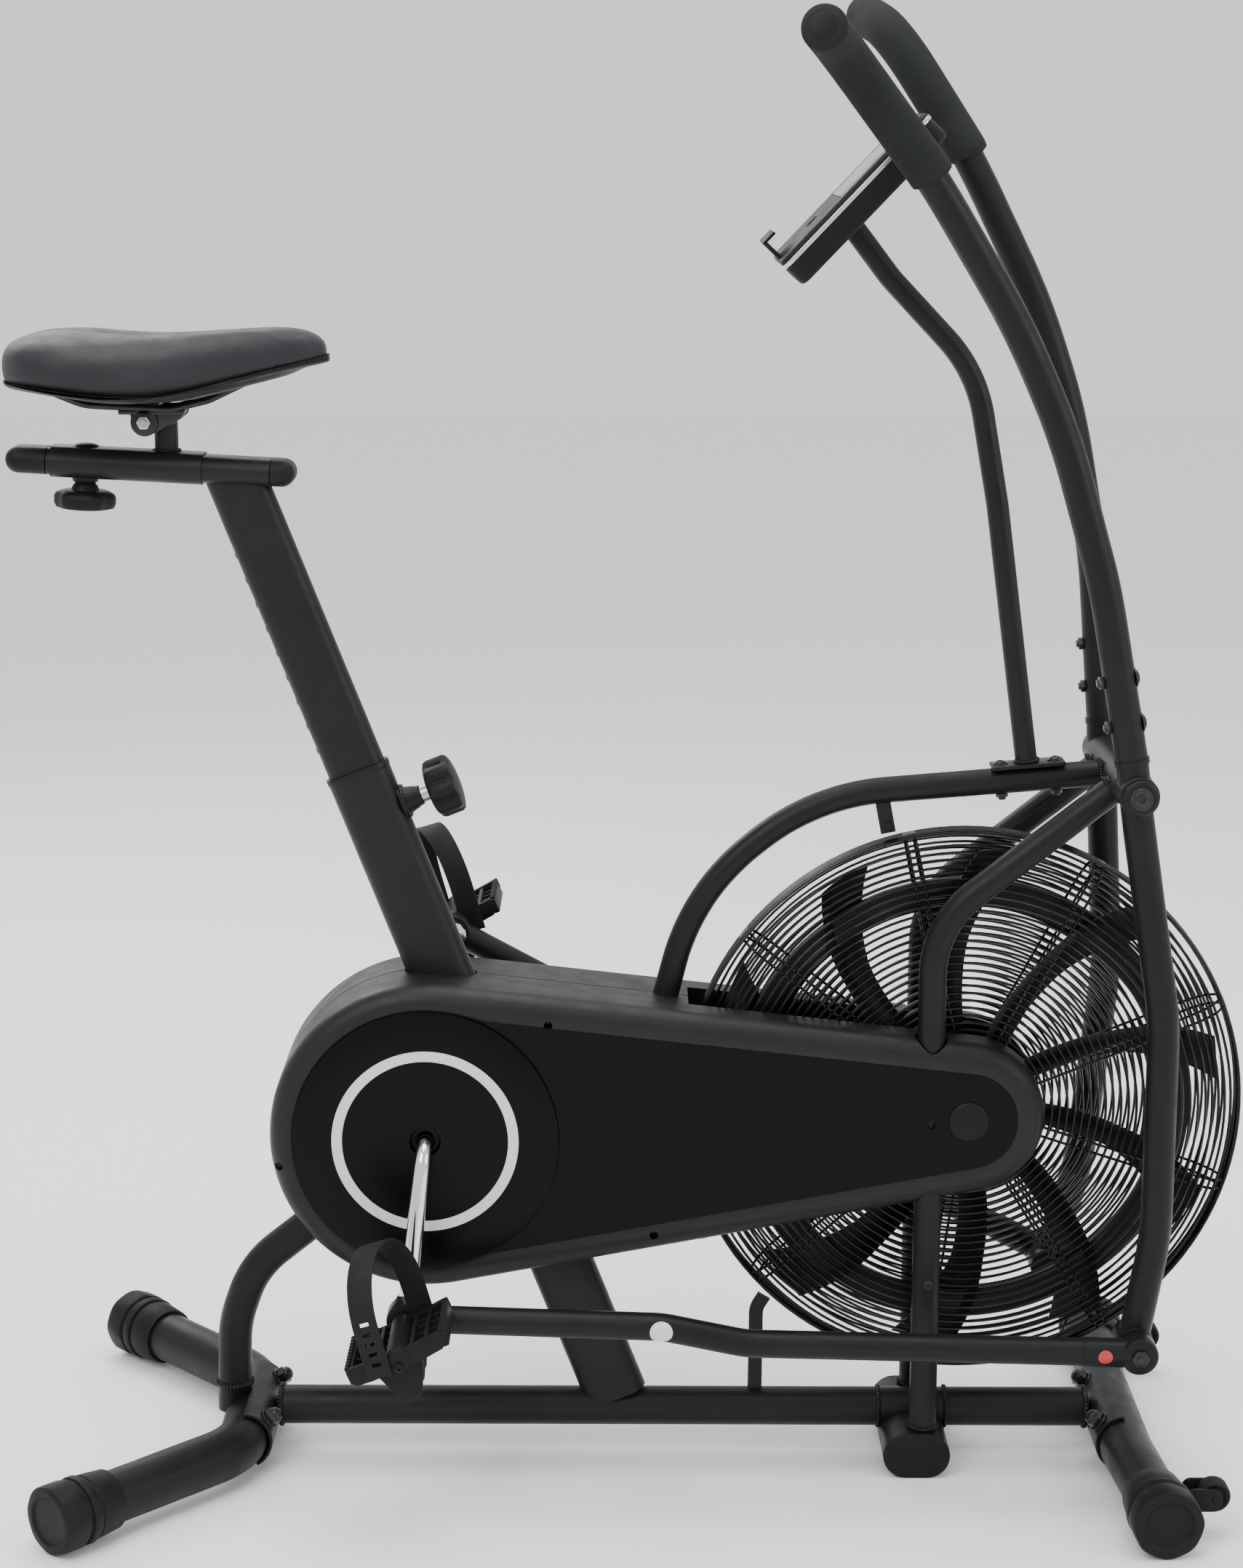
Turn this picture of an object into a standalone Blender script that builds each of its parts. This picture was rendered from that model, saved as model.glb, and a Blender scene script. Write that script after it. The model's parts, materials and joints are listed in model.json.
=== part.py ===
"""Air bike: an exercise bicycle braked by a fan, with arms that swing. For Blender 4.5, in metres.

+X points forward, to the fan and the handles. -Y is the rider's right side. The floor is z = 0.
"""

import math

import bmesh
import bpy
from mathutils import Matrix, Vector

# ---------------------------------------------------------------- driving dimensions
GAP = 0.0003  # left between pieces that touch
STEEL_WALL = 0.002
TUBE_SIDES = 10
FLOOR_TUBE_SIDES = 12

RAIL_RADIUS = 0.019
RAIL_HEIGHT = 0.0435
REAR_FOOT_X = -0.378
FRONT_FOOT_X = 0.479
FOOT_HALF_WIDTH = 0.257
FOOT_RADIUS = 0.025
FOOT_HEIGHT = 0.0335
CAP_RADIUS = 0.0335

CRANK_CENTRE = Vector((-0.198, 0, 0.341))
CRANK_RADIUS = 0.154
CRANK_LEAN = math.radians(6)  # the lower crank points this far behind straight down
SPINDLE_RADIUS = 0.0065

PIVOT = Vector((0.462, 0, 0.687))
ROCKER = 0.532  # handle pivot to the rod's front eye
RIGHT_SWING = math.radians(1.6)  # the right arm's lower end, ahead of straight down
ARM_RADIUS = 0.015
GRIP_RADIUS = 0.0205
ARM_Y = 0.105
ROD_Y = 0.1392
ROD_RADIUS = 0.0132

SEAT_LEAN = math.radians(21.5)
SEAT_TUBE_FOOT = Vector((-0.0166, 0, 0.058))
SLEEVE_LENGTH = 0.676
SLEEVE_SECTION = (0.062, 0.036)
POST_SECTION = (0.0562, 0.0302)
POST_OUT = 0.284  # post showing above the sleeve
POST_IN = 0.15
RAIL_TILT = math.radians(2.9)  # the saddle rail drops this much towards the front
SADDLE_RAIL = Vector((-0.452, 0, 0.9755))

FAN_CENTRE = Vector((0.319, 0, 0.361))
CAGE_RADIUS = 0.271
CAGE_HALF_WIDTH = 0.0295
STRUT_Y = 0.056
STRUT_RADIUS = 0.0133
STRUT_X = 0.283

DRUM_RADIUS = 0.150
NOSE_RADIUS = 0.074
COVER_HALF_DEPTH = 0.073
COVER_WALL = 0.0022
SHOULDER = 0.018
ARCH_HALF_WIDTH = 0.031  # the slot between the two arms of the housing
ARCH_RADIUS = 0.286

# ---------------------------------------------------------------- axes worked out from them
SEAT_UP = Vector((-math.sin(SEAT_LEAN), 0, math.cos(SEAT_LEAN)))
SEAT_FORE = Vector((math.cos(SEAT_LEAN), 0, math.sin(SEAT_LEAN)))
RAIL_FORE = Vector((math.cos(RAIL_TILT), 0, -math.sin(RAIL_TILT)))
RAIL_UP = Vector((math.sin(RAIL_TILT), 0, math.cos(RAIL_TILT)))
SLEEVE_TOP = SEAT_TUBE_FOOT + SEAT_UP * SLEEVE_LENGTH
X, Y, Z = Vector((1, 0, 0)), Vector((0, 1, 0)), Vector((0, 0, 1))
SIDES = {"right": -1, "left": 1}


def crank_pin(side):
    """Centre of a crank pin in the middle plane; the left crank points opposite to the right."""
    reach = Vector((math.sin(CRANK_LEAN), 0, math.cos(CRANK_LEAN))) * CRANK_RADIUS
    return CRANK_CENTRE + reach * side


def arm_foot(swing):
    """Centre of the arm's lower eye when the arm has swung forward by this angle."""
    return PIVOT + Vector((math.sin(swing), 0, -math.cos(swing))) * ROCKER


ROD_LENGTH = (arm_foot(RIGHT_SWING) - crank_pin(-1)).length


def left_swing():
    """The left arm's swing, from the triangle of handle pivot, left crank pin and rod."""
    to_pin = crank_pin(1) - PIVOT
    reach = to_pin.length
    cosine = (ROCKER**2 + reach**2 - ROD_LENGTH**2) / (2 * ROCKER * reach)
    return math.atan2(to_pin.x, -to_pin.z) + math.acos(cosine)


LEFT_TURN = RIGHT_SWING - left_swing()  # about +Y, from the mirrored right arm

# ---------------------------------------------------------------- scene and materials
for old in list(bpy.data.objects):
    bpy.data.objects.remove(old, do_unlink=True)

PARTS = bpy.data.collections.new("air_bike")
TOOLS = bpy.data.collections.new("cutters")
for collection in (PARTS, TOOLS):
    bpy.context.scene.collection.children.link(collection)


def material(name, colour, roughness, metallic=0.0):
    made = bpy.data.materials.new(name)
    made.use_nodes = True
    shader = made.node_tree.nodes["Principled BSDF"]
    shader.inputs["Base Color"].default_value = (*colour, 1)
    shader.inputs["Roughness"].default_value = roughness
    shader.inputs["Metallic"].default_value = metallic
    made.diffuse_color = (*colour, 1)
    return made


PAINT = material("powder_coat", (0.022, 0.024, 0.026), 0.45, 0.2)
PLASTIC = material("black_plastic", (0.018, 0.018, 0.019), 0.5)
GLOSS = material("gloss_panel", (0.006, 0.006, 0.007), 0.25)
WHITE = material("white_plastic", (0.62, 0.61, 0.66), 0.4)
CHROME = material("chrome", (0.72, 0.72, 0.74), 0.12, 1.0)
STEEL = material("bare_steel", (0.45, 0.45, 0.46), 0.35, 1.0)
VINYL = material("saddle_vinyl", (0.035, 0.036, 0.040), 0.6)
FOAM = material("grip_foam", (0.030, 0.032, 0.034), 0.85)
RUBBER = material("rubber", (0.012, 0.012, 0.012), 0.8)
LENS = material("display_lens", (0.01, 0.012, 0.014), 0.1)


# ---------------------------------------------------------------- making and joining solids
def add(name, mesh, look, collection=PARTS):
    """Link a mesh as an object, and shade its round faces smooth."""
    made = bpy.data.objects.new(name, mesh)
    collection.objects.link(made)
    mesh.materials.clear()
    mesh.materials.append(look)
    mesh.shade_smooth()
    mesh.set_sharp_from_angle(angle=math.radians(35))
    if collection is TOOLS:
        made.hide_render = True
        made.display_type = "WIRE"
    return made


def solid(name, bm, look=PAINT, collection=PARTS):
    bmesh.ops.recalc_face_normals(bm, faces=bm.faces)
    mesh = bpy.data.meshes.new(name)
    bm.to_mesh(mesh)
    bm.free()
    return add(name, mesh, look, collection)


def boolean(target, tool, operation):
    modifier = target.modifiers.new(f"{operation.lower()}_{tool.name}", "BOOLEAN")
    modifier.operation = operation
    modifier.solver = "EXACT"
    modifier.object = tool
    return target


def cut(target, *tools):
    for tool in tools:
        boolean(target, tool, "DIFFERENCE")
    return target


def join(target, *tools):
    for tool in tools:
        boolean(target, tool, "UNION")
    return target


def as_mesh(curve_object, look, collection):
    """Turn a curve object into a mesh object in the same place, with welded caps."""
    bpy.context.view_layer.update()
    graph = bpy.context.evaluated_depsgraph_get()
    mesh = bpy.data.meshes.new_from_object(curve_object.evaluated_get(graph))
    bm = bmesh.new()
    bm.from_mesh(mesh)
    bmesh.ops.remove_doubles(bm, verts=bm.verts, dist=0.00001)
    bmesh.ops.recalc_face_normals(bm, faces=bm.faces)
    bm.to_mesh(mesh)
    bm.free()
    name = curve_object.name
    place = curve_object.matrix_world.copy()
    bpy.data.objects.remove(curve_object, do_unlink=True)
    made = add(name, mesh, look, collection)
    made.matrix_world = place
    return made


def tube(name, points, radius, sides=TUBE_SIDES, wall=None, look=PAINT, collection=PARTS):
    """A round tube along a path: solid with end caps, or open with a wall of steel."""
    curve = bpy.data.curves.new(name, "CURVE")
    curve.dimensions = "3D"
    spline = curve.splines.new("POLY")
    spline.points.add(len(points) - 1)
    for point, place in zip(spline.points, points):
        point.co = (*place, 1)
    curve.bevel_depth = radius
    curve.bevel_resolution = (sides - 4) // 2
    curve.use_fill_caps = wall is None
    holder = bpy.data.objects.new(name, curve)
    collection.objects.link(holder)
    made = as_mesh(holder, look, collection)
    if wall:
        shell = made.modifiers.new("wall", "SOLIDIFY")
        shell.thickness = wall
        shell.offset = -1
        shell.use_even_offset = True
    return made


def tube_tool(name, points, radius, sides=TUBE_SIDES):
    return tube(name, points, radius, sides, collection=TOOLS)


def bent_path(corners, bend_radius, steps=5):
    """Straight runs between corners, joined by arcs."""
    corners = [Vector(corner) for corner in corners]
    points = [corners[0]]
    for before, corner, after in zip(corners, corners[1:], corners[2:]):
        back = (before - corner).normalized()
        ahead = (after - corner).normalized()
        half = back.angle(ahead) / 2
        longest = 0.48 * min((before - corner).length, (after - corner).length)
        setback = min(bend_radius / math.tan(half), longest)
        radius = setback * math.tan(half)
        centre = corner + (back + ahead).normalized() * (radius / math.sin(half))
        arm = corner + back * setback - centre
        axis = arm.cross(corner + ahead * setback - centre)
        for step in range(steps + 1):
            turn = Matrix.Rotation((math.pi - 2 * half) * step / steps, 3, axis)
            points.append(centre + turn @ arm)
    points.append(corners[-1])
    return points


def sided(points, side):
    """The same path on the rider's right (side -1) or left (side 1)."""
    return [Vector((p[0], abs(p[1]) * side, p[2])) for p in points]


def turned_about(points, centre, angle):
    spin = Matrix.Rotation(angle, 3, "Y")
    return [centre + spin @ (Vector(p) - centre) for p in points]


def frame_of(origin, along, across=Y):
    """A placing matrix with local Z along a direction and local Y as near to across as can be."""
    along = along.normalized()
    first = across.cross(along).normalized()
    second = along.cross(first)
    turn = Matrix((first, second, along)).transposed().to_4x4()
    return Matrix.Translation(origin) @ turn


def cylinder(name, start, end, radius, sides=20, look=PAINT, collection=PARTS, end_radius=None):
    along = Vector(end) - Vector(start)
    bm = bmesh.new()
    bmesh.ops.create_cone(
        bm,
        cap_ends=True,
        segments=sides,
        radius1=radius,
        radius2=radius if end_radius is None else end_radius,
        depth=along.length,
    )
    middle = (Vector(start) + Vector(end)) / 2
    across = Y if abs(along.normalized().y) < 0.9 else Z
    bmesh.ops.transform(bm, matrix=frame_of(middle, along, across), verts=bm.verts)
    return solid(name, bm, look, collection)


def pin(name, start, end, radius, sides=20, **more):
    return cylinder(name, start, end, radius, sides, collection=TOOLS, **more)


def block(name, size, place, look=PAINT, collection=PARTS, rounding=0.0):
    """A box with its three sizes along the axes of the placing matrix."""
    bm = bmesh.new()
    bmesh.ops.create_cube(bm, size=1)
    bmesh.ops.scale(bm, vec=size, verts=bm.verts)
    if rounding:
        bmesh.ops.bevel(bm, geom=bm.edges[:], offset=rounding, segments=2, affect="EDGES")
    bmesh.ops.transform(bm, matrix=place, verts=bm.verts)
    return solid(name, bm, look, collection)


def turned(name, profile, place, steps=24, look=PLASTIC, collection=PARTS):
    """A turned shape: (radius, height) points from the top of the axis down its outer side."""
    mesh = bpy.data.meshes.new(name)
    verts = [(radius, 0, height) for radius, height in profile]
    mesh.from_pydata(verts, [(i, i + 1) for i in range(len(verts) - 1)], [])
    made = add(name, mesh, look, collection)
    made.matrix_world = place
    screw = made.modifiers.new("turn", "SCREW")
    screw.steps = steps
    screw.render_steps = steps
    screw.use_merge_vertices = True
    screw.merge_threshold = 0.00001
    screw.use_smooth_shade = True
    return made


def oval_outline(width, depth, arc_steps=8):
    """A flat-sided oval, its width along X and its depth along Y."""
    radius = min(width, depth) / 2
    straight = (width - depth) / 2
    outline = []
    for end in (0, 1):
        for step in range(arc_steps + 1):
            angle = math.pi * (end + step / arc_steps) - math.pi / 2
            shift = straight if end == 0 else -straight
            outline.append((shift + radius * math.cos(angle), radius * math.sin(angle)))
    return outline


def prism(name, outlines, place, length, look=PAINT, collection=PARTS):
    """A flat outline, with any further outlines as holes in it, pulled out to a length."""
    curve = bpy.data.curves.new(name, "CURVE")
    curve.dimensions = "2D"
    curve.fill_mode = "BOTH"
    curve.extrude = length / 2
    for outline in outlines:
        spline = curve.splines.new("POLY")
        spline.points.add(len(outline) - 1)
        spline.use_cyclic_u = True
        for point, (across, up) in zip(spline.points, outline):
            point.co = (across, up, 0, 1)
    holder = bpy.data.objects.new(name, curve)
    collection.objects.link(holder)
    holder.matrix_world = place @ Matrix.Translation((0, 0, length / 2))
    return as_mesh(holder, look, collection)


def oval_tube(name, section, start, end, wall=None, look=PAINT, collection=PARTS):
    """A flat-sided oval tube between two points of the middle plane, its depth along Y."""
    along = Vector(end) - Vector(start)
    outlines = [oval_outline(*section)]
    if wall:
        outlines.append(oval_outline(section[0] - 2 * wall, section[1] - 2 * wall))
    return prism(name, outlines, frame_of(start, along), along.length, look, collection)


def disc(name, centre, radius, y_low, y_high, side, sides=40, look=PLASTIC, collection=PARTS):
    """A round plate that faces the side, between two distances from the middle plane."""
    start = Vector((centre.x, y_low * side, centre.z))
    end = Vector((centre.x, y_high * side, centre.z))
    return cylinder(name, start, end, radius, sides, look, collection)


def axis_empty(name, place):
    """An empty on a joint's axis, which carries the pieces that move with it."""
    made = bpy.data.objects.new(name, None)
    PARTS.objects.link(made)
    made.location = place
    bpy.context.view_layer.update()
    return made


def carry(empty, *pieces):
    for piece in pieces:
        piece.parent = empty
        piece.matrix_parent_inverse = empty.matrix_world.inverted()


# ---------------------------------------------------------------- frame
RAIL_PATH = [(REAR_FOOT_X, 0, RAIL_HEIGHT), (FRONT_FOOT_X, 0, RAIL_HEIGHT)]
BRACE_PATH = bent_path(
    [(-0.394, 0, 0.040), (-0.392, 0, 0.130), (-0.372, 0, 0.188), (-0.322, 0, 0.228), CRANK_CENTRE], 0.12, 3
)
TOP_TUBE_PATH = bent_path(
    [(-0.10, 0, 0.372), (0.010, 0, 0.384), (0.057, 0, 0.568), (0.172, 0, 0.6625), PIVOT], 0.22, 4
)
STRUT_PATH = bent_path(
    [
        (STRUT_X, STRUT_Y, 0.0453),
        (STRUT_X, STRUT_Y, 0.550),
        (PIVOT.x, STRUT_Y, PIVOT.z + 0.005),
    ],
    0.10,
    3,
)
BRACE_RADIUS = 0.0165
TOP_TUBE_RADIUS = 0.0125
CROSS_RADIUS = 0.019
SHELL_RADIUS = 0.0235
SHELL_HALF_LENGTH = 0.0325
SADDLE_PLATE = 0.003


def foot_path(middle_x, end_x):
    """Centre line of a floor tube from right to left, its ends swept to end_x."""
    corners = []
    for side in (-1, 1):
        end = (end_x, (FOOT_HALF_WIDTH - 0.013) * side, FOOT_HEIGHT)
        elbow = (middle_x, 0.085 * side, FOOT_HEIGHT)
        corners += [end, elbow] if side < 0 else [elbow, end]
    return bent_path(corners, 0.09, 3)


REAR_FOOT_PATH = foot_path(REAR_FOOT_X, -0.5270)
FRONT_FOOT_PATH = foot_path(FRONT_FOOT_X, 0.4906)


def base_rail():
    """The long floor tube, with the bent lug that holds the fan cage from below."""
    rail = tube("base_rail", RAIL_PATH, RAIL_RADIUS, FLOOR_TUBE_SIDES, STEEL_WALL)
    lug = block("base_lug", (0.014, 0.004, 0.090), Matrix.Translation((0.1225, 0, 0.103)), collection=TOOLS)
    tab = block(
        "base_lug_tab",
        (0.011, 0.004, 0.0215),
        Matrix.Translation((0.1250, 0, 0.1524)) @ Matrix.Rotation(math.radians(32), 4, "Y"),
        collection=TOOLS,
    )
    for name, path in (("rear", REAR_FOOT_PATH), ("front", FRONT_FOOT_PATH)):
        reach = FOOT_RADIUS + SADDLE_PLATE + 2 * GAP
        cut(rail, tube_tool(f"rail_end_{name}", path, reach, 24))
    join(rail, lug, tab)
    hollow = tube_tool("rail_hollow", RAIL_PATH, RAIL_RADIUS - STEEL_WALL, FLOOR_TUBE_SIDES)
    return cut(rail, hollow)


def saddle_plate(name, path, middle_x, facing):
    """Curved plate between the rail and a floor tube, with its two bolts and cap nuts."""
    half = 0.07
    start = Vector((middle_x, -half, FOOT_HEIGHT))
    end = Vector((middle_x, half, FOOT_HEIGHT))
    plate = cylinder(name, start, end, FOOT_RADIUS + GAP + SADDLE_PLATE, 24)
    bore = tube_tool(f"{name}_bore", path, FOOT_RADIUS + GAP, FLOOR_TUBE_SIDES)
    for side in (-1, 1):
        lean = Vector((facing * 0.82, 0, 0.57)).normalized()
        root = Vector((middle_x, 0.052 * side, FOOT_HEIGHT)) + lean * (FOOT_RADIUS + 0.001)
        bolt = turned(
            f"{name}_bolt_{side}",
            [
                (0, 0.0165),
                (0.004, 0.0158),
                (0.006, 0.0125),
                (0.0065, 0.0095),
                (0.0095, 0.0090),
                (0.0100, 0.0050),
                (0.0100, 0),
                (0, 0),
            ],
            frame_of(root, lean),
            10,
            STEEL,
            TOOLS,
        )
        join(plate, bolt)
    away = Matrix.Translation((middle_x - facing * 0.041, 0, 0.02)) @ Matrix.Rotation(
        -facing * math.radians(12), 4, "Y"
    )
    open_side = block(f"{name}_open_side", (0.08, 0.2, 0.12), away, collection=TOOLS)
    return cut(plate, bore, open_side)


def seat_tube():
    """Flat-sided oval tube that leans back from the rail, with the boss for the pull pin."""
    foot = SEAT_TUBE_FOOT - SEAT_UP * 0.012
    wall = (SLEEVE_SECTION[0] - POST_SECTION[0]) / 2 - 1.5 * GAP
    made = oval_tube("seat_tube", SLEEVE_SECTION, foot, SLEEVE_TOP, wall)
    cut(made, tube_tool("seat_tube_fishmouth", RAIL_PATH, RAIL_RADIUS + GAP, FLOOR_TUBE_SIDES))
    root = SLEEVE_TOP - SEAT_UP * 0.0455 + SEAT_FORE * 0.0295
    boss = turned(
        "pin_boss",
        [(0, 0.019), (0.0075, 0.019), (0.011, 0.013), (0.0135, 0.006), (0.0140, 0), (0, 0)],
        frame_of(root, SEAT_FORE),
        16,
        PAINT,
        TOOLS,
    )
    bore = pin("pin_bore", root - SEAT_FORE * 0.006, root + SEAT_FORE * 0.03, 0.0040, 12)
    return cut(join(made, boss), bore)


def rear_brace():
    """Bent tube from the rear floor tube up to the crank shell."""
    made = tube("rear_brace", BRACE_PATH, BRACE_RADIUS)
    reach = FOOT_RADIUS + SADDLE_PLATE + 2 * GAP
    return cut(
        made,
        tube_tool("brace_foot_cut", REAR_FOOT_PATH, reach, 24),
        tube_tool("brace_rail_cut", RAIL_PATH, RAIL_RADIUS + GAP, FLOOR_TUBE_SIDES),
        pin("brace_shell_cut", CRANK_CENTRE - Y * 0.05, CRANK_CENTRE + Y * 0.05, SHELL_RADIUS + GAP, 24),
    )


def crank_shell():
    """Short cross tube that holds the crank's bearings, on a gusset to the seat tube."""
    start = CRANK_CENTRE - Y * SHELL_HALF_LENGTH
    end = CRANK_CENTRE + Y * SHELL_HALF_LENGTH
    made = cylinder("crank_shell", start, end, SHELL_RADIUS, 24)
    place = Matrix.Translation(CRANK_CENTRE + X * 0.028)
    gusset = block("shell_gusset", (0.05, 0.024, 0.020), place, collection=TOOLS)
    tube_cut = oval_tube(
        "gusset_cut",
        (SLEEVE_SECTION[0] + 2 * GAP, SLEEVE_SECTION[1] + 2 * GAP),
        SEAT_TUBE_FOOT,
        SLEEVE_TOP,
        collection=TOOLS,
    )
    bore = pin("shell_bore", start - Y * 0.01, end + Y * 0.01, 0.0125, 24)
    return cut(join(made, gusset), tube_cut, bore)


def top_tube():
    """Bent tube from the seat tube over the fan to the handle pivot, with the cage's upper lug."""
    made = tube("top_tube", TOP_TUBE_PATH, TOP_TUBE_RADIUS)
    lug = block(
        "top_lug",
        (0.014, 0.004, 0.034),
        Matrix.Translation((0.2385, 0, 0.6425)) @ Matrix.Rotation(math.radians(-11), 4, "Y"),
        collection=TOOLS,
    )
    seat_cut = oval_tube(
        "top_tube_seat_cut",
        (SLEEVE_SECTION[0] + 2 * GAP, SLEEVE_SECTION[1] + 2 * GAP),
        SEAT_TUBE_FOOT,
        SLEEVE_TOP,
        collection=TOOLS,
    )
    pivot_cut = pin("top_tube_pivot_cut", PIVOT - Y * 0.05, PIVOT + Y * 0.05, CROSS_RADIUS + GAP, 24)
    return cut(join(made, lug), seat_cut, pivot_cut)


def pivot_tube():
    """Cross tube at the handle pivot, stepped down to a shaft for each arm's bush."""
    shaft = [(0, 0.128), (0.0080, 0.128), (0.0080, 0.0855), (CROSS_RADIUS, 0.0855)]
    profile = shaft + [(radius, -height) for radius, height in reversed(shaft)]
    return turned("pivot_tube", profile, frame_of(PIVOT, Y, Z), 20, PAINT)


def strut(name, side):
    """Fork tube from the cross foot, up through the housing to the pivot, with the axle lug."""
    path = sided(STRUT_PATH, side)
    made = tube(name, path, STRUT_RADIUS, TUBE_SIDES, STEEL_WALL)
    lug = block(
        f"{name}_lug",
        (0.052, 0.006, 0.032),
        Matrix.Translation((STRUT_X + 0.026, STRUT_Y * side, FAN_CENTRE.z)),
        collection=TOOLS,
    )
    hollow = tube_tool(f"{name}_hollow", path, STRUT_RADIUS - STEEL_WALL)
    hole = pin(f"{name}_axle_hole", FAN_CENTRE - Y * 0.1, FAN_CENTRE + Y * 0.1, 0.0055, 12)
    pivot_cut = pin(f"{name}_pivot_cut", PIVOT - Y * 0.09, PIVOT + Y * 0.09, CROSS_RADIUS + GAP, 24)
    return cut(join(made, lug), hollow, hole, pivot_cut)


def cross_foot():
    """Flat oval tube across the bike under the fan, resting on the floor."""
    half = 0.076
    centre = Vector((0.2765, 0, 0.0225))
    section = (0.065, 0.045)
    turn = Matrix.Rotation(math.radians(-90), 4, "X")
    place = Matrix.Translation(centre - Y * half) @ turn
    made = prism("cross_foot", [oval_outline(*section)], place, 2 * half)
    inner = Matrix.Translation(centre - Y * (half - STEEL_WALL)) @ turn
    inner_section = oval_outline(section[0] - 2 * STEEL_WALL, section[1] - 2 * STEEL_WALL)
    hollow = prism("cross_foot_hollow", [inner_section], inner, 2 * (half - STEEL_WALL), collection=TOOLS)
    rail_cut = tube_tool("cross_foot_rail_cut", RAIL_PATH, RAIL_RADIUS + GAP, FLOOR_TUBE_SIDES)
    return cut(made, hollow, rail_cut)


def build_frame():
    base_rail()
    tube("rear_stabilizer", REAR_FOOT_PATH, FOOT_RADIUS, FLOOR_TUBE_SIDES, STEEL_WALL)
    tube("front_stabilizer", FRONT_FOOT_PATH, FOOT_RADIUS, FLOOR_TUBE_SIDES, STEEL_WALL)
    for name, path, middle_x, facing in (
        ("rear_saddle", REAR_FOOT_PATH, REAR_FOOT_X, 1),
        ("front_saddle", FRONT_FOOT_PATH, FRONT_FOOT_X, -1),
    ):
        saddle_plate(name, path, middle_x, facing)
    seat_tube()
    rear_brace()
    crank_shell()
    top_tube()
    pivot_tube()
    for name, side in SIDES.items():
        strut(f"strut_{name}", side)
    cross_foot()


# ---------------------------------------------------------------- feet and wheels
CAP_BORE = FOOT_RADIUS + 0.0008  # its facets stay clear of the tube's corners


def end_cap(name, path, look=PLASTIC):
    """Plastic cap over the end of a floor tube: ridged sleeve, blind bore, flat end."""
    end, before = Vector(path[0]), Vector(path[1])
    out = (end - before).normalized()
    face = end + out * 0.013
    profile = [
        (0, 0),
        (0.0290, 0),
        (CAP_RADIUS, -0.005),
        (CAP_RADIUS, -0.024),
        (CAP_RADIUS - 0.003, -0.026),
        (CAP_RADIUS - 0.003, -0.030),
        (CAP_RADIUS - 0.001, -0.032),
        (CAP_RADIUS - 0.001, -0.039),
        (CAP_RADIUS - 0.003, -0.041),
        (0.0280, -0.070),
        (CAP_BORE, -0.070),
        (CAP_BORE, -0.0125),
        (0, -0.0125),
    ]
    return turned(name, profile, frame_of(face, out, Z), 16, look), face


WHEEL_CENTRE = Vector((0.541, 0.2, 0.041))


def front_cap(name, side):
    """Front cap with a small fork that carries a transport wheel."""
    path = FRONT_FOOT_PATH if side < 0 else FRONT_FOOT_PATH[::-1]
    cap, _ = end_cap(name, path)
    centre = Vector((WHEEL_CENTRE.x, WHEEL_CENTRE.y * side, WHEEL_CENTRE.z))
    for offset in (-1, 1):
        place = Matrix.Translation((centre.x - 0.0105, centre.y + 0.0125 * offset, 0.040))
        join(cap, block(f"{name}_ear_{offset}", (0.034, 0.004, 0.022), place, collection=TOOLS))
    pin_half = Vector((0, 0.014, 0))
    join(cap, pin(f"{name}_wheel_pin", centre - pin_half, centre + pin_half, 0.003, 12))
    wheel_name = name.replace("front_cap", "transport_wheel")
    wheel = turned(
        wheel_name,
        [
            (0.0034, 0.0095),
            (0.0120, 0.0095),
            (0.0150, 0.0065),
            (0.0150, -0.0065),
            (0.0120, -0.0095),
            (0.0034, -0.0095),
            (0.0034, 0.0095),
        ],
        frame_of(centre, Y, Z),
        16,
        RUBBER,
    )
    carry(axis_empty(f"{wheel_name}_axis", centre), wheel)


def build_feet():
    for name, side in SIDES.items():
        path = REAR_FOOT_PATH if side < 0 else REAR_FOOT_PATH[::-1]
        cap, face = end_cap(f"rear_cap_{name}", path)
        carry(axis_empty(f"rear_cap_{name}_axis", face), cap)
        front_cap(f"front_cap_{name}", side)


# ---------------------------------------------------------------- housing
def housing_outline(inset=0.0, arc_steps=9):
    """Two circles and the lines that touch both, as (x, z) points, drawn in by an inset."""
    big = DRUM_RADIUS - inset
    small = NOSE_RADIUS - inset
    span = FAN_CENTRE - CRANK_CENTRE
    slope = math.atan2(span.z, span.x)
    touch = math.acos((big - small) / math.hypot(span.x, span.z))
    outline = []
    for step in range(arc_steps + 1):
        angle = slope - touch + 2 * touch * step / arc_steps
        outline.append((FAN_CENTRE.x + small * math.cos(angle), FAN_CENTRE.z + small * math.sin(angle)))
    for step in range(arc_steps * 2 + 1):
        angle = slope + touch + 2 * (math.pi - touch) * step / (arc_steps * 2)
        outline.append((CRANK_CENTRE.x + big * math.cos(angle), CRANK_CENTRE.z + big * math.sin(angle)))
    return outline


def housing_body(name, side, inset, y_low, y_high, shoulder, collection=TOOLS, look=PLASTIC):
    """The housing's outline pulled out sideways, with a rounded outer shoulder."""
    bm = bmesh.new()
    rim = [bm.verts.new((x, y_low * side, z)) for x, z in housing_outline(inset)]
    face = bm.faces.new(rim)
    pulled = bmesh.ops.extrude_face_region(bm, geom=[face])
    moved = [item for item in pulled["geom"] if isinstance(item, bmesh.types.BMVert)]
    bmesh.ops.translate(bm, vec=(0, (y_high - y_low) * side, 0), verts=moved)
    outer = [edge for edge in bm.edges if all(abs(v.co.y - y_high * side) < 1e-6 for v in edge.verts)]
    bmesh.ops.bevel(bm, geom=outer, offset=shoulder, segments=3, profile=0.5, affect="EDGES")
    return solid(name, bm, look, collection)


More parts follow.
